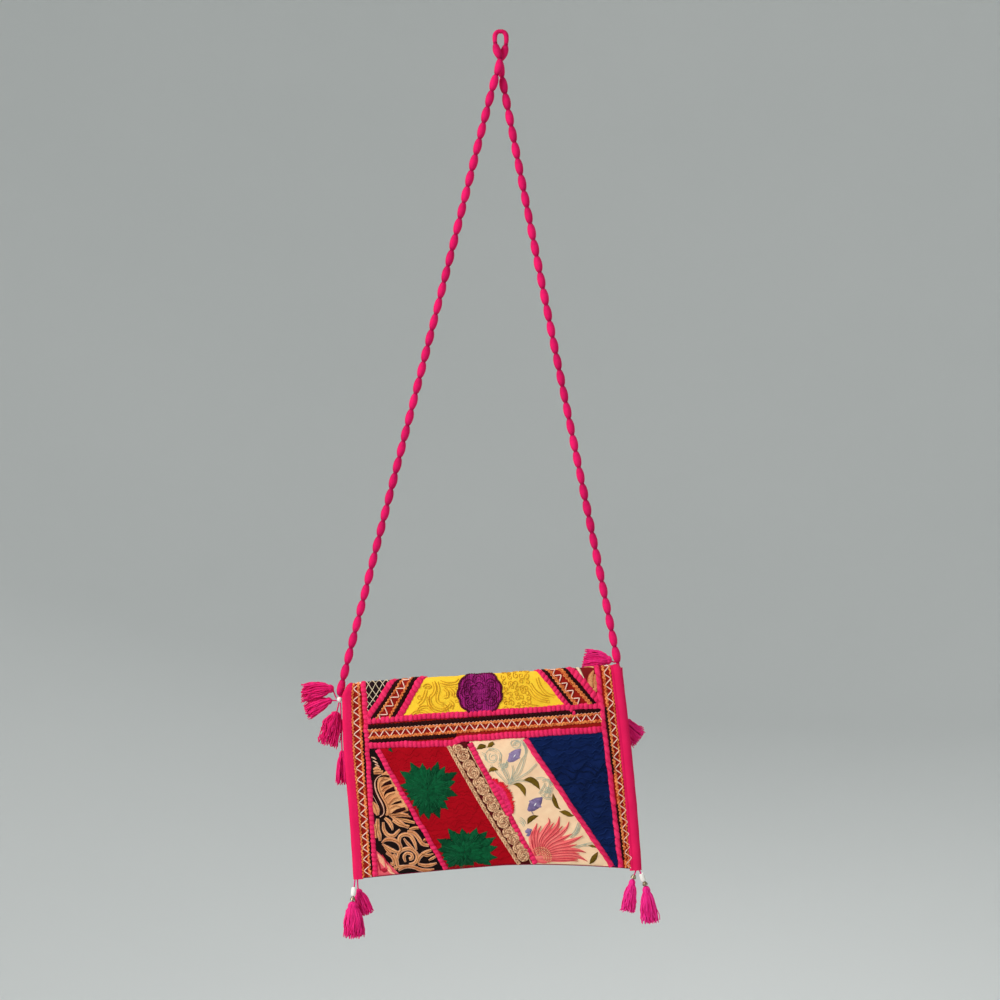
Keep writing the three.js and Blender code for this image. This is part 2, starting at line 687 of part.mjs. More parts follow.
for (const [name, { on, back, length, radius, colour }] of Object.entries(ON_THREADS)) {
  const { start, end: neck } = threadOf(TASSELS[on]);
  const thread = neck.clone().sub(start).normalize();
  const finish = { roughness: 0.35, metalness: colour === "metal" ? 1 : 0 };
  const made = mesh(name, drilledBead(length, radius), colour, finish);
  made.quaternion.setFromUnitVectors(new THREE.Vector3(0, 1, 0), thread);
  made.position.copy(neck).addScaledVector(thread, -back);
  bag.add(made);
}

// A white bead under the left strap end, where the left tassels are tied on
const strapBead = mesh("bead_strap_left", new THREE.SphereGeometry(3, 10, 6), "bead", { roughness: 0.35 });
strapBead.position.set(-145.6, 5, -16);
bag.add(strapBead);

const TABS = {
  strap_tab_left: [[-142.2, 11.4], [-142.2, 15.4], [-124, 19.5], [-124, 9.5]],
  strap_tab_right: [[131.4, 1.9], [131.4, 20.5], [139.4, 20.5], [139.4, 1.9]],
};
for (const [name, corners] of Object.entries(TABS)) {
  const made = mesh(name, tab(corners), "hotPink");
  made.rotation.x = Math.PI / 2;
  made.position.y = FLAP_STANDS_OFF_BACK + GAP + TAB_THICKNESS;
  bag.add(made);
}

const clutch = new THREE.Group();
clutch.add(
  bag,
  mesh("strap_left", strand(LEFT_ROUTE), "strapMagenta"),
  mesh("strap_right", strand(RIGHT_ROUTE), "strapMagenta"),
);

export default clutch;
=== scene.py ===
# %% [markdown]
# # A patchwork clutch on a bobble strap
# The bag is a flat envelope of cotton. Its flap covers the whole front and is pieced from eight patches of
# old embroidery, with pink braids laid over the seams and gold trims between them. It hangs by a long strap
# of yarn-wrapped bobbles, with tassels at the corners. Here every piece is sewn flat, in millimetres of
# cloth, and then laid on the form that the CAD part gives, just as the maker did it.

import math

import bmesh
import bpy
import numpy as np
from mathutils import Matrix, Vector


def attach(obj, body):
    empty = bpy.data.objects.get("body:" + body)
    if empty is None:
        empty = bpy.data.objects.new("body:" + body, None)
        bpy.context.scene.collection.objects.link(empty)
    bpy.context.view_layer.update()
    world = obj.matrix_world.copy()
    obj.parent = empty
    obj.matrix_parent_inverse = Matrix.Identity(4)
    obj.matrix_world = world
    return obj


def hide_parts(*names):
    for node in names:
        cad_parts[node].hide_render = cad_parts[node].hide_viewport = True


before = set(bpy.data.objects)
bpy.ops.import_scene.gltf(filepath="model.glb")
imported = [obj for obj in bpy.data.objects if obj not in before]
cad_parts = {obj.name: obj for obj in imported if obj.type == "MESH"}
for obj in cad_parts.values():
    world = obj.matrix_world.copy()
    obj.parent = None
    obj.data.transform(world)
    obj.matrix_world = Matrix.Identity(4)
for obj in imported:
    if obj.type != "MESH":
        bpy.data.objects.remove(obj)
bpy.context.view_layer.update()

# %% [markdown]
# ## Camera
# The bag is seen straight on from about two metres, so the camera looks level along +Y. A 72 mm lens on a
# 36 mm sensor takes in half its distance, which makes the picture one metre wide where the bag hangs.

# %% Camera
SENSOR_MM = 36
LENS_MM = 72
SEEN_FROM = 2.008
EYE_LEVEL = -0.465

lens = bpy.data.cameras.new("level_lens")
lens.sensor_width = SENSOR_MM
lens.lens = LENS_MM
camera = bpy.data.objects.new("camera", lens)
camera.location = (0.0, -SEEN_FROM, EYE_LEVEL)
camera.rotation_euler = (math.radians(90), 0.0, 0.0)
bpy.context.scene.collection.objects.link(camera)
bpy.context.scene.camera = camera
bpy.context.scene.view_settings.view_transform = "Standard"
print("Camera looks level at z", camera.location.z)

# %% [markdown]
# ## Colours and nodes
# Dyes are easiest to choose as sRGB hex values, but light adds up in linear values, so one function turns
# one into the other. A second small function adds a shader node with its settings, and feeds each socket a
# link or a value, so that a material reads as a list of what it is made of.


# %% Colour and node helpers
def linear(hex_colour):
    parts = [int(hex_colour[i : i + 2], 16) / 255 for i in (1, 3, 5)]
    return [p / 12.92 if p <= 0.04045 else ((p + 0.055) / 1.055) ** 2.4 for p in parts] + [1.0]


def feed(tree, node, inputs):
    for socket, value in inputs.items():
        if isinstance(value, bpy.types.NodeSocket):
            tree.links.new(value, node.inputs[socket])
        else:
            node.inputs[socket].default_value = value


def add_node(tree, kind, inputs=None, **settings):
    made = tree.nodes.new("ShaderNode" + kind)
    for name, value in settings.items():
        setattr(made, name, value)
    feed(tree, made, inputs or {})
    return made


def new_material(name):
    material = bpy.data.materials.new(name)
    material.use_nodes = True
    return material, material.node_tree, material.node_tree.nodes["Principled BSDF"]


# %% [markdown]
# ## Cloth and thread
# Cotton cloth, satin stitches and yarn are all fibres laid side by side, so they share one recipe. Ridges
# of thread run across the piece, along it, or both ways for a weave. The hollows between threads take the
# deeper colour as painted shade and the crowns the brighter one as painted light, a slow mottle stands for
# uneven dye, and each stitch has a tone of its own, which also carries painted shade at its edges and in its
# creases. Fine loose fibres give the soft sheen of cotton. Each mesh carries its UV in millimetres of cloth,
# so a pitch in millimetres is true wherever the piece lies.


# %% One recipe for fibres
COTTON_IOR = 1.53
WAVE_TURN = math.pi / 10


def fibre(
    name, deep, bright, across=None, along=None, depth=0.12, rough=0.82, sheen=0.3, mottle=9.0, slant=0.0
):
    """across and along are thread pitches in mm; real ones are 0.2 to 0.4 mm, drawn about twice as
    coarse here so that they show. depth is the ridges' height and mottle the size of the clouds of uneven
    dyeing, in mm."""
    material, tree, shader = new_material(name)
    uv = add_node(tree, "UVMap").outputs["UV"]
    if slant:
        turned_uv = {"Vector": uv, "Rotation": (0, 0, math.radians(slant))}
        uv = add_node(tree, "Mapping", turned_uv).outputs["Vector"]
    ridges = []
    for pitch, direction in ((across, "X"), (along, "Y")):
        if pitch:
            wave = {"Vector": uv, "Scale": WAVE_TURN / pitch, "Distortion": 1.2, "Detail": 1.0}
            ridges.append(add_node(tree, "TexWave", wave, bands_direction=direction).outputs["Fac"])
    height = ridges[0]
    if len(ridges) == 2:
        height = add_node(tree, "Math", {0: ridges[0], 1: ridges[1]}, operation="MAXIMUM").outputs[0]
    uneven = add_node(tree, "TexNoise", {"Vector": uv, "Scale": 1 / mottle, "Detail": 4.0}).outputs["Fac"]
    # The per-point tone of each mesh, which also carries painted shade
    tint_and_shade = add_node(tree, "Attribute", attribute_name="tint_and_shade").outputs["Fac"]
    tone_and_shade = add_node(tree, "Math", {0: uneven, 1: tint_and_shade}, operation="ADD").outputs[0]
    tone_and_shade = add_node(tree, "Math", {0: tone_and_shade, 1: 0.9, 2: -0.5}, operation="MULTIPLY_ADD").outputs[0]
    # Painted shade and light: the hollows of the thread ridges take the deep colour, the crowns the bright
    # one
    shade = add_node(tree, "Math", {0: height, 1: 0.45, 2: tone_and_shade}, operation="MULTIPLY_ADD", use_clamp=True)
    tones = {"Factor": shade.outputs[0], "A": linear(deep), "B": linear(bright)}
    bump = add_node(tree, "Bump", {"Height": height, "Strength": 0.7, "Distance": depth / 1000})
    finish = {
        "Base Color": add_node(tree, "Mix", tones, data_type="RGBA").outputs["Result"],
        "Normal": bump.outputs["Normal"],
        "Roughness": rough,
        "IOR": COTTON_IOR,
        "Specular IOR Level": 0.3 if rough < 0.7 else 0.07,
        "Sheen Weight": sheen,
        "Sheen Roughness": 0.45,
        "Sheen Tint": linear(bright),
    }
    feed(tree, shader, finish)
    return material


# %% [markdown]
# ## Studio
# A hanging thing needs room on every side, so the floor is a wide pale bowl of matt paper: flat below the
# bag and bent upwards all round. Paper throws no highlights, so the eye stays with the bag. A large soft box
# at the upper left models the stitches, a weaker one fills from the right, and one behind keeps the back
# readable.

# %% Bowl, soft boxes and sky
FLOOR_Z = -1.65
FLOOR_RADIUS = 1.8
BEND_RADIUS = 3.2
BOWL_TOP = 4.5
CLOUDS_ACROSS = 6.0


def on_circle(turn):
    """Points on a circle of radius 1."""
    return np.stack((np.cos(turn), np.sin(turn)), -1)


def revolved(profile, sides):
    """A (radius, height) profile turned about Z, as rows of points. The seam column is there twice."""
    ring = on_circle(np.linspace(0, 2 * math.pi, sides + 1))
    radius, height = np.asarray(profile, float).T
    flat = radius[:, None, None] * ring[None]
    return np.concatenate((flat, np.broadcast_to(height[:, None, None], flat.shape[:2] + (1,))), -1)


def add_mesh(name, points, faces, material, uv=None, tint_and_shade=None):
    mesh = bpy.data.meshes.new(name)
    mesh.from_pydata(np.asarray(points).tolist(), [], [list(face) for face in np.asarray(faces, object)])
    if uv is not None:
        corners = np.zeros(len(mesh.loops), int)
        mesh.loops.foreach_get("vertex_index", corners)
        layer = mesh.uv_layers.new(name="cloth_mm")
        layer.data.foreach_set("uv", np.asarray(uv, np.float32)[corners].ravel())
    if tint_and_shade is not None:
        tint_and_shade_layer = mesh.attributes.new("tint_and_shade", "FLOAT", "POINT")
        tint_and_shade_layer.data.foreach_set("value", np.asarray(tint_and_shade, np.float32))
    mesh.shade_smooth()
    mesh.materials.append(material)
    made = bpy.data.objects.new(name, mesh)
    bpy.context.scene.collection.objects.link(made)
    return made


def grid_faces(rows, columns):
    index = np.arange(rows * columns).reshape(rows, columns)
    corners = (index[:-1, :-1], index[:-1, 1:], index[1:, 1:], index[1:, :-1])
    return np.stack(corners, -1).reshape(-1, 4)


paper, paper_tree, paper_shader = new_material("matt_studio_paper")
grain = add_node(paper_tree, "TexNoise", {"Scale": CLOUDS_ACROSS, "Detail": 3.0}).outputs["Fac"]
tone = {"Factor": grain, "A": linear("#D9DCDA"), "B": linear("#E2E4E2")}
paper_colour = add_node(paper_tree, "Mix", tone, data_type="RGBA").outputs["Result"]
feed(paper_tree, paper_shader, {"Base Color": paper_colour, "Roughness": 0.95})

bend = np.linspace(0, math.pi / 2, 24)
bent_up = [
    (FLOOR_RADIUS + BEND_RADIUS * math.sin(t), FLOOR_Z + BEND_RADIUS * (1 - math.cos(t))) for t in bend
]
bowl_rim = (FLOOR_RADIUS + BEND_RADIUS, BOWL_TOP)
bowl_points = revolved([(0.001, FLOOR_Z)] + bent_up + [bowl_rim], 96)
bowl = add_mesh("studio_bowl", bowl_points.reshape(-1, 3), grid_faces(*bowl_points.shape[:2]), paper)

SOFT_BOXES = {
    "soft_box_left": ((-1.7, -1.25, 0.55), 1.1, 52),
    "soft_box_right": ((2.0, -2.0, -0.3), 1.6, 9),
    "soft_box_back": ((0.6, 2.2, 0.9), 1.6, 30),
}
BAG_MIDDLE = Vector((0.0, 0.0, -0.62))
for name, (place, size, watts) in SOFT_BOXES.items():
    light = bpy.data.lights.new(name, "AREA")
    light.energy = watts
    light.size = size
    lamp = bpy.data.objects.new(name, light)
    lamp.location = place
    aim = BAG_MIDDLE - lamp.location
    lamp.rotation_euler = aim.to_track_quat("-Z", "Y").to_euler()
    bpy.context.scene.collection.objects.link(lamp)
sky = bpy.context.scene.world or bpy.data.worlds.new("sky")
bpy.context.scene.world = sky
sky.use_nodes = True
feed(sky.node_tree, sky.node_tree.nodes["Background"], {"Color": linear("#F4F7FA"), "Strength": 0.5})
print("Bowl floor at z", FLOOR_Z)

# %% [markdown]
# ## The shape of the flap
# The flap is one cloth that starts behind the pouch, turns over a round fold and falls down the swelling
# front. A point on it has three numbers: how far across, how far along the cloth (its run), and how high
# over the cloth. These functions give the same surface as the CAD part, so pieces that are made flat land
# on it without any fitting. Only the soft top-left corner sags a little more.

# %% From flat cloth to the hanging bag
BAG_AT = np.array((-16.3, -5.0, -639.8))
TILT = math.radians(3.6)
FLAP_LENGTH = 200
FOLD_RADIUS = 6.2
FOLD_RUN = FOLD_RADIUS * math.pi / 2
STANDS_OFF = 1.8
TAIL = 34
WRAP = 6
CLOTH = 1.5
CORNER_SAG = 4.5
HALF_WIDTH = 146
TOP_DEPTH = 10.6
SWELL = 5.4
LESS_BELOW = 0.8
EDGE_DEPTH = 7.2
EDGE_MORE_AT_TOP = 3.4
LEFT_EDGE = -140.6
RIGHT_EDGE = 138.1
RIGHT_FLARE = 7.3
HEM = 190.1
HEM_MIDDLE = 7
LEFT_ARCH = 5
RIGHT_ARCH = 13.6


def to_frame(local):
    """Millimetres in the bag's own tilted frame to metres in the shared frame."""
    x, y, z = np.moveaxis(np.asarray(local, float), -1, 0)
    turned = (math.cos(TILT) * x - math.sin(TILT) * z, y, math.sin(TILT) * x + math.cos(TILT) * z)
    return (np.stack(turned, -1) + BAG_AT) / 1000


def front_depth(across, down):
    share = (down - FOLD_RADIUS) / FLAP_LENGTH
    middle = TOP_DEPTH + SWELL * np.sin(math.pi * share) - LESS_BELOW * share
    edge = EDGE_DEPTH + EDGE_MORE_AT_TOP * (1 - share) ** 2
    return edge + (middle - edge) * (1 - (across / HALF_WIDTH) ** 2)


def run_at(down):
    down = np.asarray(down, float)
    on_fold = FOLD_RADIUS * np.arccos(np.clip(1 - down / FOLD_RADIUS, -1, 1))
    on_front = down - FOLD_RADIUS + FOLD_RUN
    return np.where(down >= FOLD_RADIUS, on_front, np.where(down < 0, down, on_fold))


def down_at(run):
    run = np.asarray(run, float)
    turn = np.clip(run, 0, FOLD_RUN) / FOLD_RADIUS
    return np.where(run >= FOLD_RUN, run - FOLD_RUN + FOLD_RADIUS, FOLD_RADIUS * (1 - np.cos(turn)))


def on_flap(flat):
    """(across, run, height) in millimetres on the flap to metres in the shared frame."""
    across, run, height = np.moveaxis(np.asarray(flat, float), -1, 0)
    turn = np.clip(run / FOLD_RADIUS, -math.pi / 2, math.pi / 2)
    reach = FOLD_RADIUS + height
    y = STANDS_OFF - FOLD_RADIUS - reach * np.sin(turn)
    z = reach * np.cos(turn) - FOLD_RADIUS
    front = run >= FOLD_RUN
    back = run <= -FOLD_RUN
    down = down_at(run)
    y = np.where(front, -front_depth(across, down) - height, np.where(back, STANDS_OFF + height, y))
    z = np.where(front, -down, np.where(back, FOLD_RUN - FOLD_RADIUS + run, z))
    sag = CORNER_SAG * np.exp(-np.maximum(across + 141, 0) / 11 - np.abs(run) / 22)
    return to_frame(np.stack((across, y, z - sag), -1))


def left_edge(down):
    below_corner = 2 * (1 - np.exp(-down / 14))
    slow_bulge = 1.6 * np.exp(-(((down - 65) / 45) ** 2))
    return LEFT_EDGE - below_corner - slow_bulge


def right_edge(down):
    return RIGHT_EDGE + RIGHT_FLARE * (1 - np.maximum(1 - down / FLAP_LENGTH, 0) ** 1.8)


def bottom_edge(across):
    beyond = np.asarray(across, float) - HEM_MIDDLE
    left_arch = LEFT_ARCH * (np.maximum(-beyond, 0) / 149) ** 1.5
    right_arch = RIGHT_ARCH * (np.maximum(beyond, 0) / 138) ** 1.6
    return HEM + left_arch + right_arch


flap_corner = on_flap((140.0, float(run_at(FLAP_LENGTH)), 0.0))
print("Flap corner, mm:", (flap_corner * 1000).round(1))

# %% [markdown]
# ## Gathering stitches
# Thousands of stitches as separate objects would be slow, so stitches of one thread are gathered into one
# mesh. Each stitch is a strip of points: rows along the thread and a few columns over its domed back. The
# cloth under them is never quite flat, and a few slow waves give it the puckers of hand sewing.


# %% Puckered cloth and smooth paths
def waves(flat, size, seed):
    random = np.random.default_rng(seed)
    total = 0.0
    for _ in range(7):
        turn = random.uniform(0, 2 * math.pi)
        length = size * random.uniform(0.7, 1.4)
        lead = flat[..., 0] * math.cos(turn) + flat[..., 1] * math.sin(turn)
        total = total + np.sin(2 * math.pi * lead / length + random.uniform(0, 2 * math.pi))
    return total / math.sqrt(7)


def pucker(flat):
    """Height of the patchwork over the flap's cloth, in millimetres."""
    return 1.0 + 0.3 * waves(flat, 30, 11) + 0.1 * waves(flat, 9, 12)


def lengths(path):
    """How far along a path each of its points is."""
    return np.concatenate(((0,), np.cumsum(np.linalg.norm(np.diff(path, axis=0), axis=1))))


def places_at(path, wanted):
    """The places that are so far along a path."""
    along = lengths(path)
    return np.stack([np.interp(wanted, along, column) for column in path.T], -1)


def even_steps(path, step):
    """The same path with points an even step apart."""
    path = np.asarray(path, float)
    length = lengths(path)[-1]
    return places_at(path, np.linspace(0, length, max(int(length / step), 2) + 1))


def smooth(points, step):
    """A rounded path through points, with the ends carried on straight."""
    p = np.asarray(points, float)
    p = np.concatenate((2 * p[:1] - p[1:2], p, 2 * p[-1:] - p[-2:-1]))
    t = np.linspace(0, 1, 16, endpoint=False)[:, None]
    parts = []
    for before, a, b, after in zip(p, p[1:], p[2:], p[3:]):
        squared = 2 * before - 5 * a + 4 * b - after
        cubed = 3 * a - before - 3 * b + after
        parts.append(0.5 * (2 * a + (b - before) * t + squared * t**2 + cubed * t**3))
    return even_steps(np.concatenate(parts + [p[-2:-1]]), step)


def sewn(points, step=0.7):
    """A smooth path through (across, down) places, in the flat cloth's (across, run)."""
    places = np.asarray(points, float)
    return smooth(np.stack((places[:, 0], run_at(places[:, 1])), -1), step)


def beside(path):
    """Unit vectors across a flat path, to its right as it runs down the cloth's columns."""
    ahead = np.gradient(path, axis=0)
    ahead /= np.linalg.norm(ahead, axis=1, keepdims=True) + 1e-9
    return np.stack((-ahead[:, 1], ahead[:, 0]), -1)


def dress(made, slot, *nodes):
    """The piece rides on the bag and stands for its CAD nodes; slot is not used."""
    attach(made, "root")
    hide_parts(*nodes)
    return made


# %% Gathering strips into one mesh
class Gather:
    """Grids of points that become one mesh, such as all the stitches of one thread."""

    def __init__(self, seed=1):
        self.random = np.random.default_rng(seed)
        self.points = []
        self.uv = []
        self.tint_and_shade = []
        self.faces = []
        self.count = 0

    def grid(self, points, uv, tint_and_shade=0.5):
        rows, columns = points.shape[:2]
        self.faces.append(grid_faces(rows, columns) + self.count)
        self.points.append(points.reshape(-1, 3))
        self.uv.append(uv.reshape(-1, 2))
        self.tint_and_shade.append(np.broadcast_to(tint_and_shade, (rows, columns)).ravel())
        self.count += rows * columns

    def strip(self, path, widths, rise, lift, columns=5):
        """One stitch along a flat path: widths are spread over its length, and lift raises it."""
        along = lengths(path)
        width = np.interp(along / along[-1], np.linspace(0, 1, len(widths)), widths)
        side = np.linspace(-1, 1, columns)
        offset = side[None, :] * width[:, None] / 2
        flat = path[:, None] + beside(path)[:, None] * offset[..., None]
        dome = np.sqrt(1 - 0.96 * side**2) * np.minimum(1, width / width.max() * 1.6)[:, None]
        height = pucker(flat) + np.reshape(lift, (-1, 1)) + rise * dome - 0.3 * (np.abs(side) == 1)
        uv = np.stack(np.broadcast_arrays(along[:, None], offset), -1)
        # Painted shade: a random tone for each stitch, darker along both edges where it dips into the cloth
        shaded = self.random.uniform(0.25, 0.8) - 0.45 * (np.abs(side) == 1)
        shaded = shaded[None, :] + self.random.uniform(-0.2, 0.2, offset.shape)
        self.grid(np.concatenate((flat, height[..., None]), -1), uv, shaded)

    def twist(self, path, width, pitch, slant, rise, lift, pinch, columns=9, vary=0.2):
        """A laid yarn that is tied down every pitch, so that it puffs up between the ties."""
        along = lengths(path)
        side = np.linspace(-1, 1, columns)
        phase = along[:, None] / pitch + slant * side[None, :]
        puff = np.abs(np.sin(math.pi * phase)) ** 0.5
        segment = np.floor(phase).astype(int)
        segment -= segment.min()
        uneven = self.random.uniform(-1, 1, segment.max() + 1)[segment]
        offset = side[None, :] * width / 2 * (0.84 + 0.16 * puff + 0.06 * uneven)
        flat = path[:, None] + beside(path)[:, None] * offset[..., None]
        body = rise * (1 - pinch * (1 - puff)) * (1 + 0.1 * uneven)
        height = pucker(flat) + lift + body * np.sqrt(1 - 0.97 * side**2) - 0.35 * (np.abs(side) == 1)
        uv = np.stack(np.broadcast_arrays(along[:, None], offset), -1)
        # Painted shade: a random tone for each segment, darker in the pinches between puffs and along both
        # edges
        shaded = 0.6 + vary * uneven - pinch * (1 - puff) - 0.35 * (np.abs(side) == 1)
        self.grid(np.concatenate((flat, height[..., None]), -1), uv, shaded)

    def make(self, name, material, slot, nodes=(), place=on_flap):
        points, faces, uv, tint_and_shade = map(np.concatenate, (self.points, self.faces, self.uv, self.tint_and_shade))
        return dress(add_mesh(name, place(points), faces, material, uv, tint_and_shade), slot, *nodes)

    def sew_on(self, name, material, slot, *nodes):
        """The mesh of a piece that lies on the flap."""
        self.make(name, material, slot, nodes)


# %% [markdown]
# ## Seams and patches
# A seam is a straight line on the flat cloth, from one (across, down) place to another, with the width of
# the braid that hides it. A patch is the cloth between some of them: "left+" is the side to the right of the
# seam called left, or above a seam that runs across, and "left-" is its other side. Each patch is cut out of
# a fine grid with the bisect tool, dips towards its seams where the stitches pull it down, and gets a
# turned-down edge.

# %% Seams
SEAMS = {
    "left": ((-120, 0), (-120.4, 194), 5),
    "right": ((113.3, 0), (124, 193.5), 5),
    "upper": ((-116, 39.4), (114, 36.8), 6),
    "lower": ((-116, 64.6), (116, 61.6), 6.5),
    "slant_left_outer": ((-88.8, 0), (-114.9, 31.1), 6),
    "slant_left_inner": ((-61.3, 0), (-86.6, 35.8), 7),
    "slant_right_inner": ((54.5, 0), (81.3, 34.4), 5),
    "slant_right_outer": ((85.7, 0), (112.6, 31.3), 7),
    "low_left": ((-111, 65.4), (-48.8, 191.5), 5),
    "low_middle": ((-16.1, 70.3), (40.4, 191.1), 5.5),
    "low_right": ((37.3, 64.7), (115.2, 196.8), 5.5),
    "rope_edge": ((-38.7, 69.9), (22.5, 189), 0),
    "corner": ((-117.5, 166.2), (-95.9, 191.6), 0),
}
HEM_INSET = 1.0


def on_cloth(across, down):
    return np.array((across, float(run_at(down))))


def seam_ends(name):
    start, end, width = SEAMS[name]
    return on_cloth(*start), on_cloth(*end), width


def side_of(side, margin):
    """A point on the edge of that side of a seam, margin away from its braid, and the way inwards."""
    a, b, width = seam_ends(side[:-1])
    ahead = (b - a) / np.linalg.norm(b - a)
    inwards = np.array((ahead[1], -ahead[0])) * (1 if side[-1] == "+" else -1)
    return a + inwards * (width / 2 + margin), inwards


def inside(flat, sides, margin):
    """How far flat points are inside all the sides, in millimetres."""
    room = run_at(bottom_edge(flat[..., 0])) - HEM_INSET - flat[..., 1]
    for side in sides.split():
        point, inwards = side_of(side, margin)
        room = np.minimum(room, (flat - point) @ inwards)
    return room


def trimmed(path, sides, margin):
    """The longest stretch of a path that lies inside the sides, or None."""
    keep = np.flatnonzero(inside(path, sides, margin) >= 0)
    if len(keep) < 4:
        return None
    stretch = max(np.split(keep, np.flatnonzero(np.diff(keep) > 1) + 1), key=len)
    return path[stretch] if len(stretch) >= 4 else None


def stitch(gather, path, sides, margin, widths, rise, lift=0.0, columns=4):
    """A stitch along the stretch of a path that lies inside the sides, if there is one."""
    kept = trimmed(path, sides, margin)
    if kept is not None:
        gather.strip(kept, widths, rise, lift, columns)


# %% Cutting a patch
WIDEST = 137
PAST_HEM = 214
CUT_STEP = 1.8


def cut_outline(sides, margin):
    whole = ((-WIDEST, -WRAP), (WIDEST, -WRAP), (WIDEST, PAST_HEM), (-WIDEST, PAST_HEM))
    outline = [np.array(corner, float) for corner in whole]
    for side in sides.split():
        point, inwards = side_of(side, margin)
        kept = []
        for p, q in zip(outline, outline[1:] + outline[:1]):
            a = (p - point) @ inwards
            b = (q - point) @ inwards
            if a >= 0:
                kept.append(p)
            if a * b < 0:
                kept.append(p + (q - p) * a / (a - b))
        outline = kept
    return np.array(outline)


def patch(name, sides, material, slot, lift=0.0):
    under_braid = -2.4 if "lower" in sides or "upper" in sides else -0.9
    corners = cut_outline(sides, under_braid)
    low = corners.min(0)
    high = corners.max(0)
    columns, rows = ((high - low) / CUT_STEP).astype(int) + 2
    sheet = bmesh.new()
    grid = []
    for across in np.linspace(low[0], high[0], columns):
        end = min(high[1], float(run_at(bottom_edge(across))) - HEM_INSET)
        grid.append([sheet.verts.new((across, run, 0)) for run in np.linspace(low[1], end, rows)])
    for near, far in zip(grid, grid[1:]):
        for i in range(rows - 1):
            sheet.faces.new((near[i], near[i + 1], far[i + 1], far[i]))
    for side in sides.split():
        point, inwards = side_of(side, under_braid)
        everything = sheet.verts[:] + sheet.edges[:] + sheet.faces[:]
        line = {"plane_co": (*point, 0), "plane_no": (*inwards, 0), "clear_inner": True}
        bmesh.ops.bisect_plane(sheet, geom=everything, **line)
    flat = np.array([v.co[:2] for v in sheet.verts])
    room = np.maximum(inside(flat, sides, under_braid), 0)
    for vertex, height in zip(sheet.verts, pucker(flat) + lift - 0.55 * np.exp(-room / 2)):
        vertex.co.z = height
    rim = bmesh.ops.extrude_edge_only(sheet, edges=[e for e in sheet.edges if e.is_boundary])
    for part in rim["geom"]:
        if isinstance(part, bmesh.types.BMVert):
            part.co.z = -0.1
    sheet.verts.index_update()
    points = np.array([v.co[:] for v in sheet.verts])
    faces = [[v.index for v in face.verts] for face in sheet.faces]
    sheet.free()
    even_tint = np.full(len(points), 0.5)
    made = add_mesh(name + "_cloth", on_flap(points), faces, material, points[:, :2], even_tint)
    dress(made, slot, name)
    return len(points)


# %% [markdown]
# Each patch is plain-woven cotton in its own dye, about 20 threads to the centimetre. It gives the eye a
# flat, even colour with a faint grid in it. The weave is drawn at 0.9 mm, coarser than the real 0.5 mm, so
# that it shows.

# %% The eight patches
PATCHES = {
    "lattice_patch": ("left+ slant_left_outer-", "#120A0C", "#251418", "lattice_cloth"),
    "yellow_patch": ("slant_left_inner+ slant_right_inner- upper+", "#F6B41C", "#FFD63C", "yellow_cloth"),
    "leaf_patch": ("slant_right_outer+ right-", "#5E0E10", "#82191A", "leaf_cloth"),
    "scroll_patch": ("left+ low_left- lower- corner+", "#0B0505", "#1C0F0E", "scroll_cloth"),
    "salmon_patch": ("left+ corner-", "#D23850", "#F06470", "salmon_cloth"),
    "red_patch": ("low_left+ rope_edge- lower-", "#94000E", "#B00418", "red_cloth"),
    "cream_patch": ("low_middle+ low_right- lower-", "#F4C096", "#FFDCB4", "cream_cloth"),
    "navy_patch": ("low_right+ right- lower-", "#01051A", "#12275C", "navy_cloth"),
}
for name, (sides, deep, bright, slot) in PATCHES.items():
    cotton = fibre("plain_cotton_" + name, deep, bright, across=0.9, along=0.9, depth=0.1, sheen=0.2)
    print(name, patch(name, sides, cotton, slot), "points")

# %% [markdown]
# ## Pink braids
# The braids are bundles of soft pink yarn laid along the seams and tied down with small stitches every few
# millimetres, so they puff up between the ties. On some seams the ties slant and the bundle looks like rope.
# A strip of points that swells and pinches along its length gives that, with yarn ridges running along it.
# Soft spun yarn scatters the light, so it looks bright and matt, and painted shade darkens its deep creases.

# %% Braids over the seams
# Where each braid stops, the pitch of its ties in mm, and their slant
BRAIDS = {
    "left": ("", 4.6, 0.1),
    "right": ("", 8.6, 0.25),
    "upper": ("left+ right-", 4.6, 0.05),
    "lower": ("left+ right-", 4.4, -0.05),
    "slant_left_outer": ("left+ upper+", 4.8, 0.2),
    "slant_left_inner": ("upper+", 4.8, 0.2),
    "slant_right_inner": ("lower+", 4.4, -0.2),
    "slant_right_outer": ("right- upper+", 5.2, -0.2),
    "low_left": ("left+ lower-", 4.8, 0.2),
    "low_middle": ("lower-", 4.6, 0.1),
    "low_right": ("right- lower-", 8.0, 0.45),
}
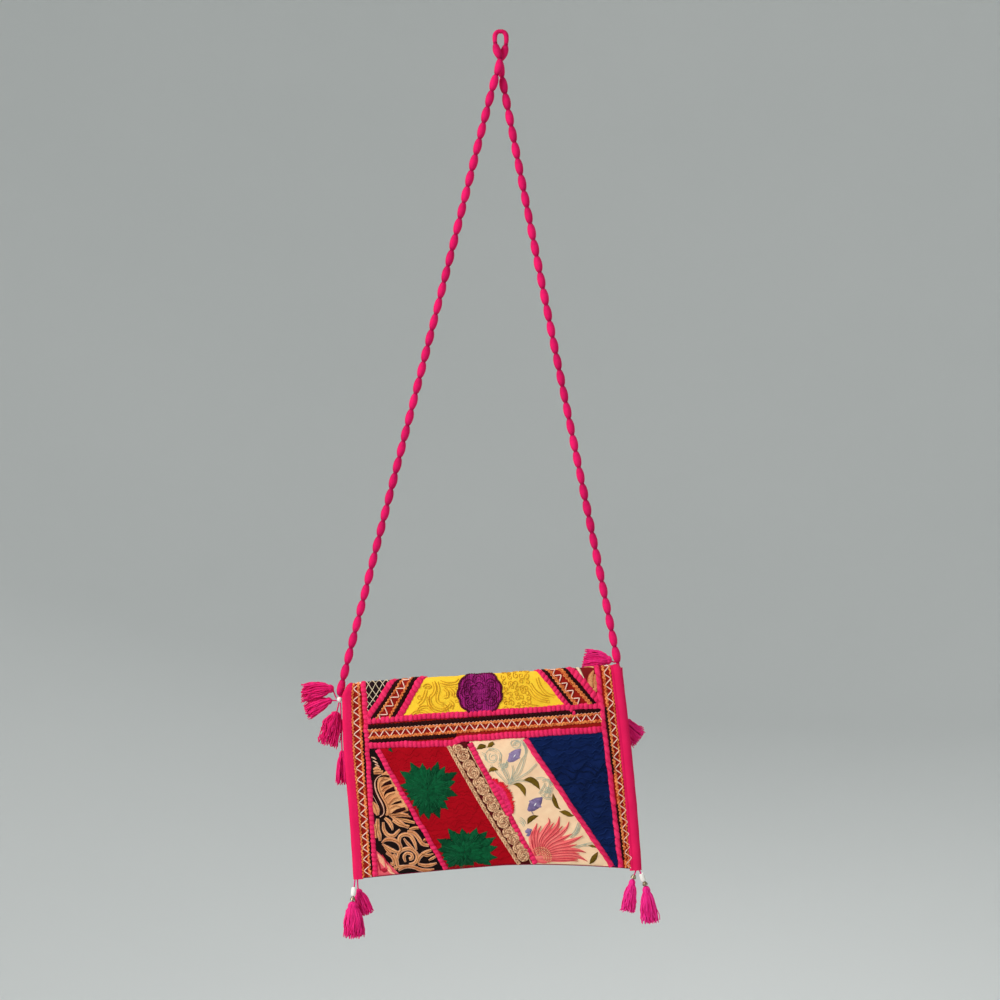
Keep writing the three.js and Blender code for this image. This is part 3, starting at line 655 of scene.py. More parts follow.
# Hand-laid braids stray from their seams: places across, and how far the braid lies below its seam there
WANDERS = {
    "upper": ((-116, -90, -60, -20, 40, 116), (-0.8, -1.8, -2.0, -1.4, -0.4, 0.0)),
    "lower": ((-117, -75, -34, -27, 40, 116), (-2.8, -0.6, 1.4, -2.7, -1.9, -0.9)),
}
braid_yarn = fibre("couched_pink_yarn", "#D40C48", "#FF3870", along=0.95, depth=0.3, sheen=0.2, mottle=5.0)
tie_thread = fibre("rose_tie_thread", "#BE1448", "#EE4A78", along=0.5, sheen=0.2)
BRAID_RISE = 2.3
BRAID_LIFT = -0.75
STRAYS = 0.35
BRAID_OVERLAP = -1.2
AT_ZIGZAG = 14.0
ties = Gather(5)
for number, (seam, (stops, pitch, slant)) in enumerate(BRAIDS.items()):
    start, end, width = seam_ends(seam)
    beyond = (end - start) / np.linalg.norm(end - start) * 20
    line = even_steps((start - beyond, end + beyond), 0.5)
    if seam in WANDERS:
        line[:, 1] += np.interp(line[:, 0], *WANDERS[seam])
    line = line[line[:, 1] >= -WRAP]
    line = trimmed(line, stops, AT_ZIGZAG if stops == "lower+" else BRAID_OVERLAP)
    line = line + beside(line) * STRAYS * waves(line, 26, 40 + number)[:, None]
    laid = Gather(60 + number)
    laid.twist(line, width + 0.8, pitch, slant, BRAID_RISE, BRAID_LIFT, columns=11, pinch=0.6)
    node = "braid_" + seam
    laid.sew_on(node + "_yarn", braid_yarn, "braid_yarn", node)
    along = lengths(line)
    across = beside(line)
    for place in np.arange(pitch, along[-1] - 1, pitch):
        i = int(np.searchsorted(along, place))
        lean = ties.random.uniform(-0.25, 0.25)
        ahead = line[min(i + 1, len(line) - 1)] - line[i - 1]
        way = np.linspace(-1.05, 1.05, 9)
        crossing = line[i] + way[:, None] * (across[i] * (width + 0.4) / 2 - ahead * (slant * pitch + lean))
        over = BRAID_LIFT + BRAID_RISE / 2 * np.sqrt(np.maximum(1 - way**2, 0))
        ties.strip(crossing, (0.5, 0.6, 0.5), 0.3, over, columns=4)
ties.sew_on("braid_ties", tie_thread, "braid_yarn")
print("Braids:", len(BRAIDS), "with ties of", ties.count, "points")

# %% [markdown]
# ## Zigzag trims
# Between the patches run bands of dark red cloth with a cream zigzag thread down the middle, orange-gold
# cords on both sides of it and black scalloped edges. Each band lies between two lines, and everything on
# it keeps its distance from one of them, so that it follows the band's own curve.


# %% Bands between two lines
def seam_side(side, shares):
    """Points along a seam's side; shares may run past its ends."""
    a, b, _ = seam_ends(side[:-1])
    point, _ = side_of(side, 0)
    return point + shares[:, None] * (b - a)


LEFT_TAPE = 10.0
RIGHT_TAPE = 12.0
side_runs = np.linspace(-WRAP, PAST_HEM - 2, 300)
side_downs = down_at(side_runs)


def along_binding(edge, inset):
    return np.stack((edge(side_downs) + inset, side_runs), -1)


def along_seam(side):
    line = seam_side(side, np.linspace(-0.2, 1.2, 60))
    return np.stack((np.interp(side_runs, line[:, 1], line[:, 0]), side_runs), -1)


level = np.linspace(-0.02, 1.02, 300)
steep = np.linspace(-0.35, 1.6, 120)
BANDS = {
    "trim_left": (along_binding(left_edge, LEFT_TAPE), along_seam("left-"), ""),
    "trim_right": (along_seam("right+"), along_binding(right_edge, -RIGHT_TAPE), ""),
    "trim_across": (seam_side("upper-", level), seam_side("lower+", level), "left+ right- upper- lower+"),
    "trim_slant_left": (
        seam_side("slant_left_outer+", steep),
        seam_side("slant_left_inner-", steep),
        "slant_left_outer+ slant_left_inner- upper+ left+",
    ),
    "trim_slant_right": (
        seam_side("slant_right_inner+", steep),
        seam_side("slant_right_outer-", steep),
        "slant_right_inner+ slant_right_outer- upper+ right-",
    ),
    "trim_rope": (seam_side("rope_edge+", level), seam_side("low_middle-", level), "lower-"),
}
ACROSS = 0
RUN = 1


def band_path(name, offset, step, sway=None, stretch=None):
    """A path on a band, offset mm in from its first line, or from its second line if negative.
    A stretch (ACROSS or RUN, from, to) keeps only that part of it."""
    first, second, sides = BANDS[name]
    start = first if offset >= 0 else second
    over = beside(start)
    over *= np.sign(np.sum(over * (second - first)))
    path = even_steps(start + over * offset, step)
    if sway is not None:
        path = path + beside(path) * sway(lengths(path))[:, None]
    path = path[path[:, 1] >= -WRAP]
    if stretch:
        way, start, end = stretch
        path = path[(path[:, way] >= start) & (path[:, way] <= end)]
    return trimmed(path, sides, -1.0)


# %% Grounds of the bands
# Plain-woven cotton: a dark, quiet ground that makes the cords stand out
red_band = fibre("dark_red_band_cotton", "#640A08", "#A01C12", across=0.8, along=0.8, sheen=0.15)
BAND_LIFT = 0.1
for name in ("trim_across", "trim_slant_left", "trim_slant_right"):
    patch(name, BANDS[name][2], red_band, "zigzag_trim", lift=BAND_LIFT)


def side_band(name):
    """A band along a side binding, whose outer edge is curved."""
    first, second, _ = BANDS[name]
    share = np.linspace(-0.09, 1.06, 9)
    flat = first[:, None] + (second - first)[:, None] * share[None, :, None]
    hem = run_at(bottom_edge(flat[..., 0])) - HEM_INSET
    flat[..., 1] = np.minimum(flat[..., 1], hem)
    height = pucker(flat) + BAND_LIFT
    height[-1] = -0.1
    made = Gather()
    made.grid(np.concatenate((flat, height[..., None]), -1)[:, ::-1], flat[:, ::-1])
    made.sew_on(name + "_cloth", red_band, "zigzag_trim", name)


side_band("trim_left")
side_band("trim_right")
print("Bands:", len(BANDS) - 1)

# %% Scallops, cords and zigzags
# Two-ply cord: the slanted ply shows as light and dark along each cord, painted light on its crowns and
# painted shade in its hollows
gold_cord = fibre(
    "orange_gold_cord", "#B83A14", "#FF9E5A", across=0.7, depth=0.2, sheen=0.2, slant=35, mottle=4.0
)
# Couched black cotton: the darkest line beside the braids, with a soft edge
black_edge = fibre("black_scallop_thread", "#160405", "#34100F", across=0.6, depth=0.2, sheen=0.2)
# Mercerised cotton: a pale thread with a bright sheen
cream_zigzag = fibre(
    "cream_zigzag_thread", "#F6B8A0", "#FFDCCC", across=0.5, depth=0.15, sheen=0.4, slant=30
)
# Black scallops as (offset, width, stretch), gold cords as (offset, width), then the zigzag's middle,
# reach and pitch
LAYOUT = {
    "trim_left": (
        ((-0.8, 1.8, (RUN, 52, 104)), (-0.8, 1.8, (RUN, 150, 190))),
        ((0.7, 1.6), (-2.7, 2.0)),
        (4.9, 3.2, 11.4),
    ),
    "trim_right": (
        ((1.5, 3.4, (RUN, 42, 110)), (1.3, 2.8, (RUN, 140, 196))),
        ((3.2, 2.2), (-0.6, 1.2)),
        (6.4, 2.9, 12.0),
    ),
    "trim_across": (
        ((1.8, 4.2, None), (-3.0, 3.6, (ACROSS, -130, -31))),
        ((5.3, 2.4), (12.4, 2.4)),
        (8.6, 3.3, 10.6),
    ),
    "trim_slant_left": (
        ((1.8, 3.8, None), (-1.8, 3.6, None)),
        ((4.6, 1.9), (-4.6, 2.0)),
        (7.9, 3.2, 10.4),
    ),
    "trim_slant_right": (
        ((1.6, 3.4, None), (-1.7, 3.4, None)),
        ((3.9, 1.7), (5.6, 1.4), (-4.3, 1.9), (-6.0, 1.4)),
        (7.8, 3.2, 9.6),
    ),
}
SCALLOP = 3.6


def ripple(along):
    return 0.6 * np.sin(2 * math.pi * along / SCALLOP)


scallops = Gather(7)
cords = Gather(8)
zigzags = Gather(9)
for name, (edges, golds, (middle, reach, pitch)) in LAYOUT.items():
    for offset, width, stretch in edges:
        path = band_path(name, offset, 0.35, ripple, stretch)
        scallops.twist(path, width + 0.3, SCALLOP, 0.1, 1.0, 0.0, columns=7, pinch=0.5)
        if offset > 0:
            fine = band_path(name, offset + width / 2 + 0.2, 0.5, ripple, stretch)
            zigzags.strip(fine, (0.55,), 0.5, 0.2, columns=4)
    for offset, width in golds:
        path = band_path(name, offset, 0.3, ripple)
        cords.twist(path, width + 0.4, 3.2, 0.5, 1.3, 0.0, columns=7, pinch=0.7, vary=0.4)

    def sway(along):
        return reach * np.arcsin(0.95 * np.sin(2 * math.pi * along / pitch)) / 1.25

    zigzags.strip(band_path(name, middle, 0.4, sway), (1.1,), 0.7, 0.35)
scallops.sew_on("black_scallops", black_edge, "zigzag_trim")
cords.sew_on("gold_cords", gold_cord, "zigzag_trim")
zigzags.sew_on("zigzag_threads", cream_zigzag, "zigzag_trim")
print("Trim points:", scallops.count + cords.count + zigzags.count)

# %% [markdown]
# ## Rope trim
# Beside the cream patch runs a band of maroon cloth with a beige cord coiled into a chain of rounds and a
# two-ply cord along its edge. A coil is one laid cord wound outwards from a knot in its middle. The rounds
# overlap in pairs, the second one of a pair on top, so that a pair looks like a comma.

# %% Coiled rounds and edge cords
# Plain-woven cotton, as dark as shade, so that the cord seems to stand free of it
maroon = fibre("maroon_band_cotton", "#38080B", "#5E1517", across=0.8, along=0.8, sheen=0.15)
patch("trim_rope", "rope_edge+ low_middle- lower-", maroon, "rope_trim")
# Undyed two-ply cotton cord: pale crowns, hollows darkened brown as painted shade, hardly any shine
beige_cord = fibre(
    "beige_cord", "#984A30", "#FFD2A4", across=0.6, depth=0.2, sheen=0.1, slant=35, mottle=4.0
)
CORD = 2.2
EDGE_CORD = 2.3
COIL_PITCH = 2.3
ROUNDS = 14
rope = Gather(14)


def coil(middle, radius, turns, start, thread, heart=0.14):
    """A spiral path outwards, from a heart that is that share of the radius."""
    turn = np.sqrt(np.linspace(heart**2, 1, int(30 * turns))) * turns * 2 * math.pi
    out = (radius - thread / 2) * turn / (turns * 2 * math.pi)
    return middle + out[:, None] * on_circle(turn + start)


def bulge(along):
    return 1.4 * np.sin(math.pi * along / along[-1])


for shift, ply in ((1.4, -0.5), (-0.5, 0.5)):
    path = band_path("trim_rope", 1.2, 0.35, bulge)
    path = path + beside(path) * shift
    rope.twist(path, EDGE_CORD, 3.4, ply, 1.4, 0.0, columns=7, pinch=0.7, vary=0.3)
rope.twist(band_path("trim_rope", -0.7, 0.35), 1.4, 3.2, 0.45, 1.0, 0.0, columns=7, pinch=0.6, vary=0.3)
spine = band_path("trim_rope", 8.6, 0.5)
reached = lengths(spine)
sideways = beside(spine)
for number, place in enumerate(np.linspace(5.0, reached[-1] - 6.0, ROUNDS)):
    on_top = number % 2 == 1
    i = min(int(np.searchsorted(reached, place - 1.4 * on_top)), len(spine) - 1)
    radius = 7.5 if on_top else 7.1
    middle = spine[i] + sideways[i] * (-0.6 if on_top else 0.7)
    lead = math.radians(200 if on_top else 20) + rope.random.uniform(-0.6, 0.6)
    lift = 0.1 + 0.5 * on_top
    wound = even_steps(coil(middle, radius, radius / COIL_PITCH, lead, CORD), 0.4)
    wound = trimmed(wound, "lower-", -0.8)
    if wound is not None:
        rope.twist(wound, CORD, 2.2, 0.3, 1.3, lift, columns=7, pinch=0.6, vary=0.4)
    knot = middle + np.linspace((-1.0, 0.3), (1.0, -0.3), 6)
    stitch(rope, knot, "lower-", 1.5, (1.5, 2.0, 1.5), 1.1, lift, columns=5)
rope.sew_on("rope_rounds", beige_cord, "rope_trim")
print("Rope trim points:", rope.count)

# %% [markdown]
# ## Rosettes
# Two green rosettes of long pointed petals lie on the red patch. Each petal is a satin stitch: a strip that
# swells and narrows, with its threads running out from the middle. Shorter rings lie on the first one, and
# thin veins of a lighter green on top. Stranded silk lies smoother than cotton, so it shows hardly any fuzz,
# and the folds between its petals are deepened with painted shade along each petal's edge.


# %% Green rosettes
def silk(name, deep, bright, **settings):
    """Stranded silk: the fibre recipe with a smoother thread and little fuzz."""
    return fibre(name, deep, bright, rough=0.75, sheen=0.1, **settings)


def scaled(widths, times):
    return [times * width for width in widths]


green_thread = silk("green_satin_thread", "#011E12", "#0A6238", along=0.9, depth=0.3)
POINTED = (3.0, 6.5, 9.6, 11.6, 11.6, 9.0, 5.2, 0.5)
PETAL_TUCK = -0.6
UNDER_RING = 17
HEART_RING = 8
VEINS = 64
RED_SIDES = PATCHES["red_patch"][0]
ROSETTES = {
    "green_rosette_upper": (
        (-62.7, 109.2),
        [
            (-77.6, 81.7), (-66.1, 83.8), (-50.9, 83.0), (-44.5, 88.2), (-32.8, 94.3), (-35.1, 102.9),
            (-34.2, 116.7), (-43.1, 120.5), (-44.1, 129.4), (-52.6, 138.1), (-63.4, 138.7), (-71.7, 135.1),
            (-81.9, 127.6), (-89.9, 116.3), (-90.0, 103.3), (-87.9, 90.1),
        ],
    ),
    "green_rosette_lower": (
        (-29.8, 173.6),
        [
            (-44.3, 150.3), (-31.0, 150.8), (-16.6, 150.8), (-6.7, 155.0), (0.7, 161.3), (2.1, 170.6),
            (1.3, 181.2), (-2.0, 190.7), (-55.8, 159.6), (-58.7, 170.0), (-57.0, 181.8), (-50.0, 191.7),
        ],
    ),
}
vein_work = Gather(24)
for number, (name, (hub, tips)) in enumerate(ROSETTES.items()):
    petals = Gather(20 + number)
    hub = np.array(hub)
    rings = []
    for tip, after in zip(tips, tips[1:] + tips[:1]):
        tip = np.array(tip)
        rings.append((hub + (tip - hub) * 1.04, POINTED, 0.7, 0.1))
        between = (tip + np.array(after)) / 2 - hub
        if np.linalg.norm(between) > 12:
            rings.append((hub + between * 0.86, scaled(POINTED, 0.9), 0.7, 0.0))
            rings.append((hub + between * 0.66, scaled(POINTED, 0.6), 0.7, 0.75))
        rings.append((hub + (tip - hub) * 0.52, scaled(POINTED, 0.55), 0.6, 1.1))
    for turn in np.arange(0.3, 2 * math.pi, math.pi / 8):
        rings.append((hub + UNDER_RING * on_circle(turn), POINTED, 0.5, 0.0))
        rings.append((hub + HEART_RING * on_circle(turn), scaled(POINTED, 0.35), 0.6, 1.5))
    for tip, widths, rise, lift in rings:
        bow = petals.random.uniform(-0.05, 0.05) * np.array((hub[1] - tip[1], tip[0] - hub[0]))
        path = sewn((hub + (tip - hub) * 0.04, (hub + tip) / 2 + bow, tip))
        stitch(petals, path, RED_SIDES, PETAL_TUCK, widths, rise, lift, columns=5)
    petals.sew_on(name + "_petals", green_thread, "green_thread", name)
    for turn in np.linspace(0, 2 * math.pi, VEINS, endpoint=False):
        far = petals.random.uniform(10, 23) * on_circle(turn)
        path = sewn((hub + far * 0.45, hub + far * 0.75, hub + far))
        stitch(vein_work, path, RED_SIDES, PETAL_TUCK, (0.4, 0.5, 0.3), 0.4, 1.25)
leaf_tip = Gather(26)
leaf_tip.strip(sewn([(-98.4, 66.6), (-96.6, 68.6), (-95.0, 70.4)]), (4.0, 2.4, 0.4), 0.6, 0.1)
leaf_tip.sew_on("green_leaf_tip", green_thread, "green_thread")
vein_thread = silk("light_green_thread", "#0A4C2E", "#2A7C52", along=0.5)
vein_work.sew_on("green_veins", vein_thread, "green_thread")
print("Green rosettes:", len(ROSETTES), "with veins of", vein_work.count, "points")

# %% [markdown]
# A round purple rosette sits on the fold of the yellow patch. It is filled with long upright stitches and
# small arcs of the same silk, and a dark plum cord runs round it in scallops. The folds of its petals are
# drawn in the same dark plum as painted shade. The eye sees one deep, soft round, and the dark lines give it
# its pattern.

# %% Purple rosette
purple_thread = silk("purple_satin_thread", "#4C0432", "#BC2A8A", along=0.9, depth=0.3)
petals = Gather(23)
hub = on_cloth(-4.8, 16.9)
ROSE = 22.4
ARC = 3.2
ARCS = 150
FOLDED_PETALS = 8
for x in np.arange(-ROSE + 2, ROSE - 1, 2.1):
    half = math.sqrt(ROSE**2 - x**2) - 1.2
    upright = hub + np.linspace((x, -half), (x, half), 60)
    stitch(petals, upright, "upper+", PETAL_TUCK, (2.3,), 0.5, 0.1, columns=5)
for _ in range(ARCS):
    turn = petals.random.uniform(0, 2 * math.pi)
    spot = hub + (ROSE - 4) * math.sqrt(petals.random.uniform()) * on_circle(turn)
    lean = turn + petals.random.uniform(-0.7, 0.7) + math.pi / 2
    arc = spot + ARC * on_circle(lean + np.linspace(-1.0, 1.0, 9)) - ARC * on_circle(lean)
    stitch(petals, arc, "upper+", 0.5, (0.7, 1.3, 0.7), 0.5, 0.35)
petals.sew_on("purple_rosette_petals", purple_thread, "purple_thread", "purple_rosette")
rim = Gather(27)
turns = np.linspace(0, 2 * math.pi, 300)
lobes = 0.955 + 0.065 * np.abs(np.sin(turns * 5.5))
ring = hub + (ROSE - 0.6) * lobes[:, None] * on_circle(turns)
lowest = int(np.argmax(ring[:-1, 1]))
ring = np.roll(ring[:-1], -lowest, 0)
ring = trimmed(even_steps(ring, 0.5), "upper+", PETAL_TUCK)
rim.twist(ring, 2.6, 2.6, 0.2, 1.2, 0.2, pinch=0.7)
# Painted shade: dark plum arcs where the petals fold, in the rim cord's material
for petal in range(FOLDED_PETALS):
    lean = 2 * math.pi * petal / FOLDED_PETALS + rim.random.uniform(-0.2, 0.2)
    for reach, size in ((13.0, 5.6), (13.0, 3.0), (6.5, 4.0)):
        arc = lean + 0.4 * (reach < 10) + np.linspace(-2.0, 2.0, 19)
        fold = hub + reach * on_circle(lean) + size * on_circle(arc)
        stitch(rim, even_steps(fold, 0.5), "upper+", 0.3, (0.4, 0.9, 0.9, 0.4), 0.4, 0.8)
plum_cord_and_fold_shade = silk("dark_plum_cord_and_fold_shade", "#2E0418", "#6E0E3C", along=0.7, depth=0.3)
rim.sew_on("purple_rosette_rim", plum_cord_and_fold_shade, "purple_thread")
print("Purple rosette:", petals.count + rim.count, "points")

# %% [markdown]
# ## Stitched patterns on the patches
# The other patches carry line work. A helper sews a list of strokes, each a few (across, down) places with
# the widths that the stroke has along its way, and cuts each stroke off where its patch ends.


# %% Sewing strokes
TUCK = -0.4


def sew(gather, sides, strokes, rise, lift=0.05, step=0.7):
    for places, widths in strokes:
        stitch(gather, sewn(places, step), sides, TUCK, widths, rise, lift, columns=5)


def second_rows(gather, sides, strokes, apart, widths, rise):
    """A thinner row of stitches beside each stroke."""
    for stroke in strokes:
        path = sewn(stroke)
        stitch(gather, path + beside(path) * apart, sides, TUCK, widths, rise)


def wider(strokes, times):
    return [(places, scaled(widths, times)) for places, widths in strokes]


def outline(gather, sides, strokes, thread):
    """A thin thread along both edges of each stroke."""
    for places, widths in strokes:
        path = sewn(places, 0.6)
        along = lengths(path)
        half = np.interp(along / along[-1], np.linspace(0, 1, len(widths)), widths) / 2
        for hand in (-1, 1):
            edge = path + beside(path) * (hand * half)[:, None]
            stitch(gather, edge, sides, TUCK, (thread,), 0.45, 0.15)


def curl(gather, sides, place, radius, thread):
    """A small spiral, turned its own way."""
    size = radius * gather.random.uniform(0.8, 1.15)
    path = coil(on_cloth(*place), size, 1.9, gather.random.uniform(0, 6.3), thread, 0.4)
    stitch(gather, even_steps(path, 0.5), sides, TUCK, (thread,), 0.4)


# %% [markdown]
# The yellow patch is covered with swirls in a thread that is only a little browner than the cloth, so that
# they read as relief. Broad curves in double rows fill the left and the right end, and small loops lie in
# uneven rows beside the purple round.

# %% Swirls on yellow
YELLOW_SIDES = PATCHES["yellow_patch"][0]
swirl_thread = silk("golden_brown_thread", "#BC7C0C", "#F4BC34", across=0.6, depth=0.15)
swirls = Gather(30)
SWIRLS = [
    [(-61.2, 7.3), (-58.4, 5.2), (-54.9, 5.4), (-52.8, 7.8), (-55.1, 9.6), (-58.5, 9.0)],
    [
        (-49.3, 3.1), (-47.9, 9), (-50.1, 15.1), (-54, 19.4), (-52.6, 25.7), (-47.4, 29.2), (-41.2, 30),
        (-35.6, 25.9),
    ],
    [(-55.2, 17.5), (-55.6, 23.7), (-51.5, 29.8), (-44.9, 32.4), (-38.6, 31.5)],
    [(-45.8, 3.8), (-44.5, 11.0), (-46.7, 18.0), (-45.9, 22.7), (-40.9, 24.6)],
    [(-43.1, 2.9), (-36.9, 4.8), (-28.9, 4.8), (-25.2, 2.6)],
    [(-42.3, 5.1), (-35.3, 6.9), (-28.1, 6.8)],
    [(-69.0, 30.9), (-65.2, 26.9), (-58.0, 26.3), (-52.8, 30.2)],
    [(-74.5, 33.4), (-69.9, 30.6), (-63.6, 30.1), (-57.9, 32.7)],
    [(-57.0, 11.1), (-59.2, 17.2), (-62.2, 22.4), (-66.4, 25.7)],
    [(-42.3, 25.5), (-38.4, 27.9), (-37.4, 32.9)],
    [(-34.5, 22.4), (-31.6, 26.1), (-33.2, 31.4)],
    [(-39.5, 9.5), (-36.0, 13.5), (-36.5, 19.0), (-40.5, 20.0)],
    [(-33.5, 10.5), (-30.5, 14.0), (-31.0, 18.5)],
    [(53.9, 5.4), (56.2, 13.3), (61.8, 20.8), (69.3, 24.0)],
    [(46.8, 10.4), (50.9, 17.3), (57.2, 22.7), (63.8, 24.7)],
    [(44.8, 15.9), (48.3, 22.1), (54.1, 26.3), (62.4, 28.5)],
    [(37.9, 27.5), (44.4, 31.2), (52.1, 32.8)],
]
sew(swirls, YELLOW_SIDES, [(stroke, (0.7, 1.2, 0.7)) for stroke in SWIRLS], rise=0.8)
second_rows(swirls, YELLOW_SIDES, SWIRLS, 2.3, (0.5, 0.9, 0.5), 0.6)
CURLS = [(-27.5, 11.0), (-28.5, 24.0), (-65.0, 18.0), (-30.0, 17.5), (-33.0, 29.0), (62.5, 29.5)]
for place in CURLS:
    curl(swirls, YELLOW_SIDES, place, 2.6, 0.8)
spots = np.stack(np.meshgrid(np.arange(20, 46, 5.6), np.arange(2, 42, 5.2)), -1).reshape(-1, 2)
spots = spots + swirls.random.uniform(-1.7, 1.7, spots.shape)
for spot in spots[np.linalg.norm(spots - hub, axis=1) > ROSE + 2]:
    turn = np.linspace(2.0, swirls.random.uniform(8, 10.5), 44)
    share = turn / turn[-1]
    out = swirls.random.uniform(2.3, 3.1) * (share + 0.8 * np.maximum(share - 0.8, 0))
    turn = turn * swirls.random.choice((-1, 1)) + swirls.random.uniform(0, 6.3)
    loop = spot + out[:, None] * on_circle(turn)
    stitch(swirls, even_steps(loop, 0.4), YELLOW_SIDES, TUCK, (0.5, 0.9, 0.9, 0.5), 0.7)
swirls.sew_on("yellow_swirls", swirl_thread, "yellow_cloth")
print("Swirls:", swirls.count, "points")

# %% [markdown]
# The two small patches in the top corners are scraps of other embroidery: a pale lattice on black at the
# left, and old-gold leaves on dark red at the right. Both are a few plain strokes, cut off by the braids.

# %% Lattice and leaves in the top corners
# Mercerised cotton: thin, pale and bright against the black
pale_thread = fibre("pale_lattice_thread", "#CDB083", "#F8E8C8", across=0.5, depth=0.15, sheen=0.4)
LATTICE_MESH = 7
lattice = Gather(31)
LATTICE_SIDES = PATCHES["lattice_patch"][0]
for start in range(-150, -60, LATTICE_MESH):
    for lean in (-1, 1):
        slanted = np.linspace((start, -6), (start + lean * 36, 40), 4)
        sew(lattice, LATTICE_SIDES, [(slanted, (0.7,))], 0.5, 0.1)
LEAF_SIDES = PATCHES["leaf_patch"][0]
sew(lattice, LEAF_SIDES, [([(92.8, -4), (95.5, 1.6), (100.5, 11.2)], (4.0, 3.0, 1.0))], 0.7)
lattice.sew_on("pale_lattice", pale_thread, "lattice_cloth")

# Thick gold-coloured cotton, a little faded: warm and matt, with fine cross threads
gold_thread = fibre("old_gold_thread", "#B85A32", "#FFBC80", across=0.6, depth=0.2, rough=0.75, sheen=0.2)
leaves = Gather(32)
LEAVES = [
    ([(109.6, 2.6), (106.6, 8.0), (105.8, 13.6), (107.6, 18.6)], (1.5, 5.5, 6.0, 1.5)),
    ([(111.0, 5.8), (110.4, 14.9), (110.8, 23.2)], (2, 4.8, 2.2)),
    ([(100.3, -1.8), (104.8, -1.4), (110.2, 0.6)], (1.4, 2.6, 1.6)),
    ([(109.0, 19.0), (110.2, 24.2), (112.6, 29.0)], (2, 4, 1)),
]
sew(leaves, LEAF_SIDES, LEAVES, 0.7, 0.1)
leaves.sew_on("corner_leaves", gold_thread, "leaf_cloth")
print("Top corners:", lattice.count + leaves.count, "points")

# %% [markdown]
# The tall patch at the left is black cotton that is almost covered by old-gold flourishes, with a pale
# thread around each of them and a brown line of painted shade along it, for the crease between two cords.
# They are drawn as strokes that swell like a brush mark, each a list of places and of the widths along its
# way, and the black that is left between them makes the pattern.

# %% Flourishes of the scroll patch
SCROLL_SIDES = PATCHES["scroll_patch"][0]
SCROLLS = [
    ([(-105.3, 94.6), (-109.6, 99.6), (-110.5, 105.7), (-107.8, 113.0), (-104.2, 120.3),
      (-102.5, 127.5), (-103.2, 131.8)], (1, 4.5, 4.5, 4.5, 4.5, 4, 2)),
    ([(-109.1, 98.8), (-105.4, 96.8), (-101.9, 97.0)], (3, 3, 1.5)),
    ([(-108.8, 108.5), (-105.1, 105.2), (-100.5, 103.7)], (3, 3, 1.5)),
    ([(-105.8, 116.7), (-101.1, 112.5), (-95.6, 111.2)], (4, 4.5, 2)),
    ([(-103.0, 122.1), (-96.8, 116.3), (-92.8, 115.7)], (3.5, 3.5, 2)),
    ([(-101.0, 125.8), (-95.5, 123.5), (-90.3, 125.6)], (3.2, 3.2, 1.5)),
    ([(-102.2, 131.0), (-95.1, 131.5), (-88.0, 132.8), (-81.1, 136.7)], (2.5, 3.5, 3, 1.5)),
    ([(-102.3, 131.9), (-95.5, 137.6), (-88.7, 143.4), (-84.4, 146.7)], (1.5, 3.2, 3.2, 1)),
    ([(-107.0, 135.2), (-102.8, 139.8), (-100.5, 145.2), (-100.2, 147.9)], (2, 3.2, 3, 1)),
    ([(-114.1, 135.6), (-114.9, 140.9), (-114.9, 147.0), (-113.4, 152.4), (-113.3, 157.8)],
     (2, 3.5, 3.5, 3, 1.5)),
    ([(-109.0, 139.4), (-108.6, 147.4), (-104.5, 152.9), (-99.2, 153.3), (-95.4, 150.0), (-92.5, 147.5)],
     (1.5, 2.5, 3, 3, 2.5, 1.5)),
    ([(-92.0, 167.0), (-94.3, 160.6), (-93.0, 154.6), (-87.5, 152.7), (-82.3, 155.2), (-79.1, 161.6),
      (-77.3, 168.8)], (1.5, 2.6, 2.8, 3, 3, 2.6, 1)),
    ([(-89.5, 156.6), (-85.9, 162.1), (-80.4, 167.8)], (1, 2.4, 1)),
    ([(-85.5, 149.8), (-79.4, 151.9), (-75.2, 156.6), (-71.2, 163.0), (-65.0, 165.2)], (2, 3, 3, 3, 2)),
    ([(-111.7, 160.1), (-106.6, 156.8), (-99.5, 157.7), (-94.3, 161.5), (-92.9, 167.0), (-94.0, 170.8)],
     (1, 2.8, 2.8, 2.8, 2.6, 1.5)),
    ([(-111.3, 160.9), (-106.2, 165.3), (-101.0, 168.3), (-95.4, 170.8)], (1, 3, 3, 1.5)),
    ([(-97.1, 177.3), (-95.4, 171.2), (-90.2, 167.6), (-83.1, 167.6), (-78.0, 172.3), (-77.5, 177.6),
      (-80.4, 181.9), (-85.8, 182.9)], (1.5, 2.6, 2.8, 2.8, 2.8, 2.8, 2.6, 1.5)),
    ([(-89.3, 180.4), (-90.5, 175.1), (-87.4, 171.7), (-83.0, 173.1), (-82.3, 176.9), (-85.5, 177.8)],
     (1.2, 2.2, 2.2, 2.2, 2.4, 2.6)),
    ([(-100.3, 171.3), (-98.1, 178.1), (-96.7, 184.4), (-90.4, 184.4)], (1.5, 2.5, 2.5, 1.5)),
    ([(-108.3, 170.4), (-103.1, 173.4), (-100.6, 177.9), (-101.5, 182.4), (-104.5, 180.4)],
     (1, 2.6, 2.6, 2.6, 1.2)),
    ([(-96.9, 188.4), (-89.6, 185.2), (-81.6, 186.0), (-75.5, 188.8), (-68.4, 190.0), (-61.2, 189.4)],
     (1.5, 2.6, 2.6, 2.6, 2.4, 1)),
    ([(-77.7, 182.1), (-74.7, 176.1), (-69.1, 172.0), (-62.6, 169.7)], (2, 3, 3, 1.5)),
    ([(-76.9, 183.0), (-69.9, 185.2), (-63.6, 184.7), (-58.1, 183.3)], (1.5, 2.6, 2.6, 1)),
    ([(-66.0, 180.1), (-60.4, 177.3), (-58.1, 175.8)], (1, 2.2, 1)),
    ([(-119.9, 109.6), (-118.4, 117.6), (-115.4, 125.7), (-113.8, 132.2)], (1.5, 5.2, 5.8, 2.0)),
    ([(-115.1, 86.9), (-111.9, 85.8), (-108.2, 87.5)], (2, 4, 2)),
]
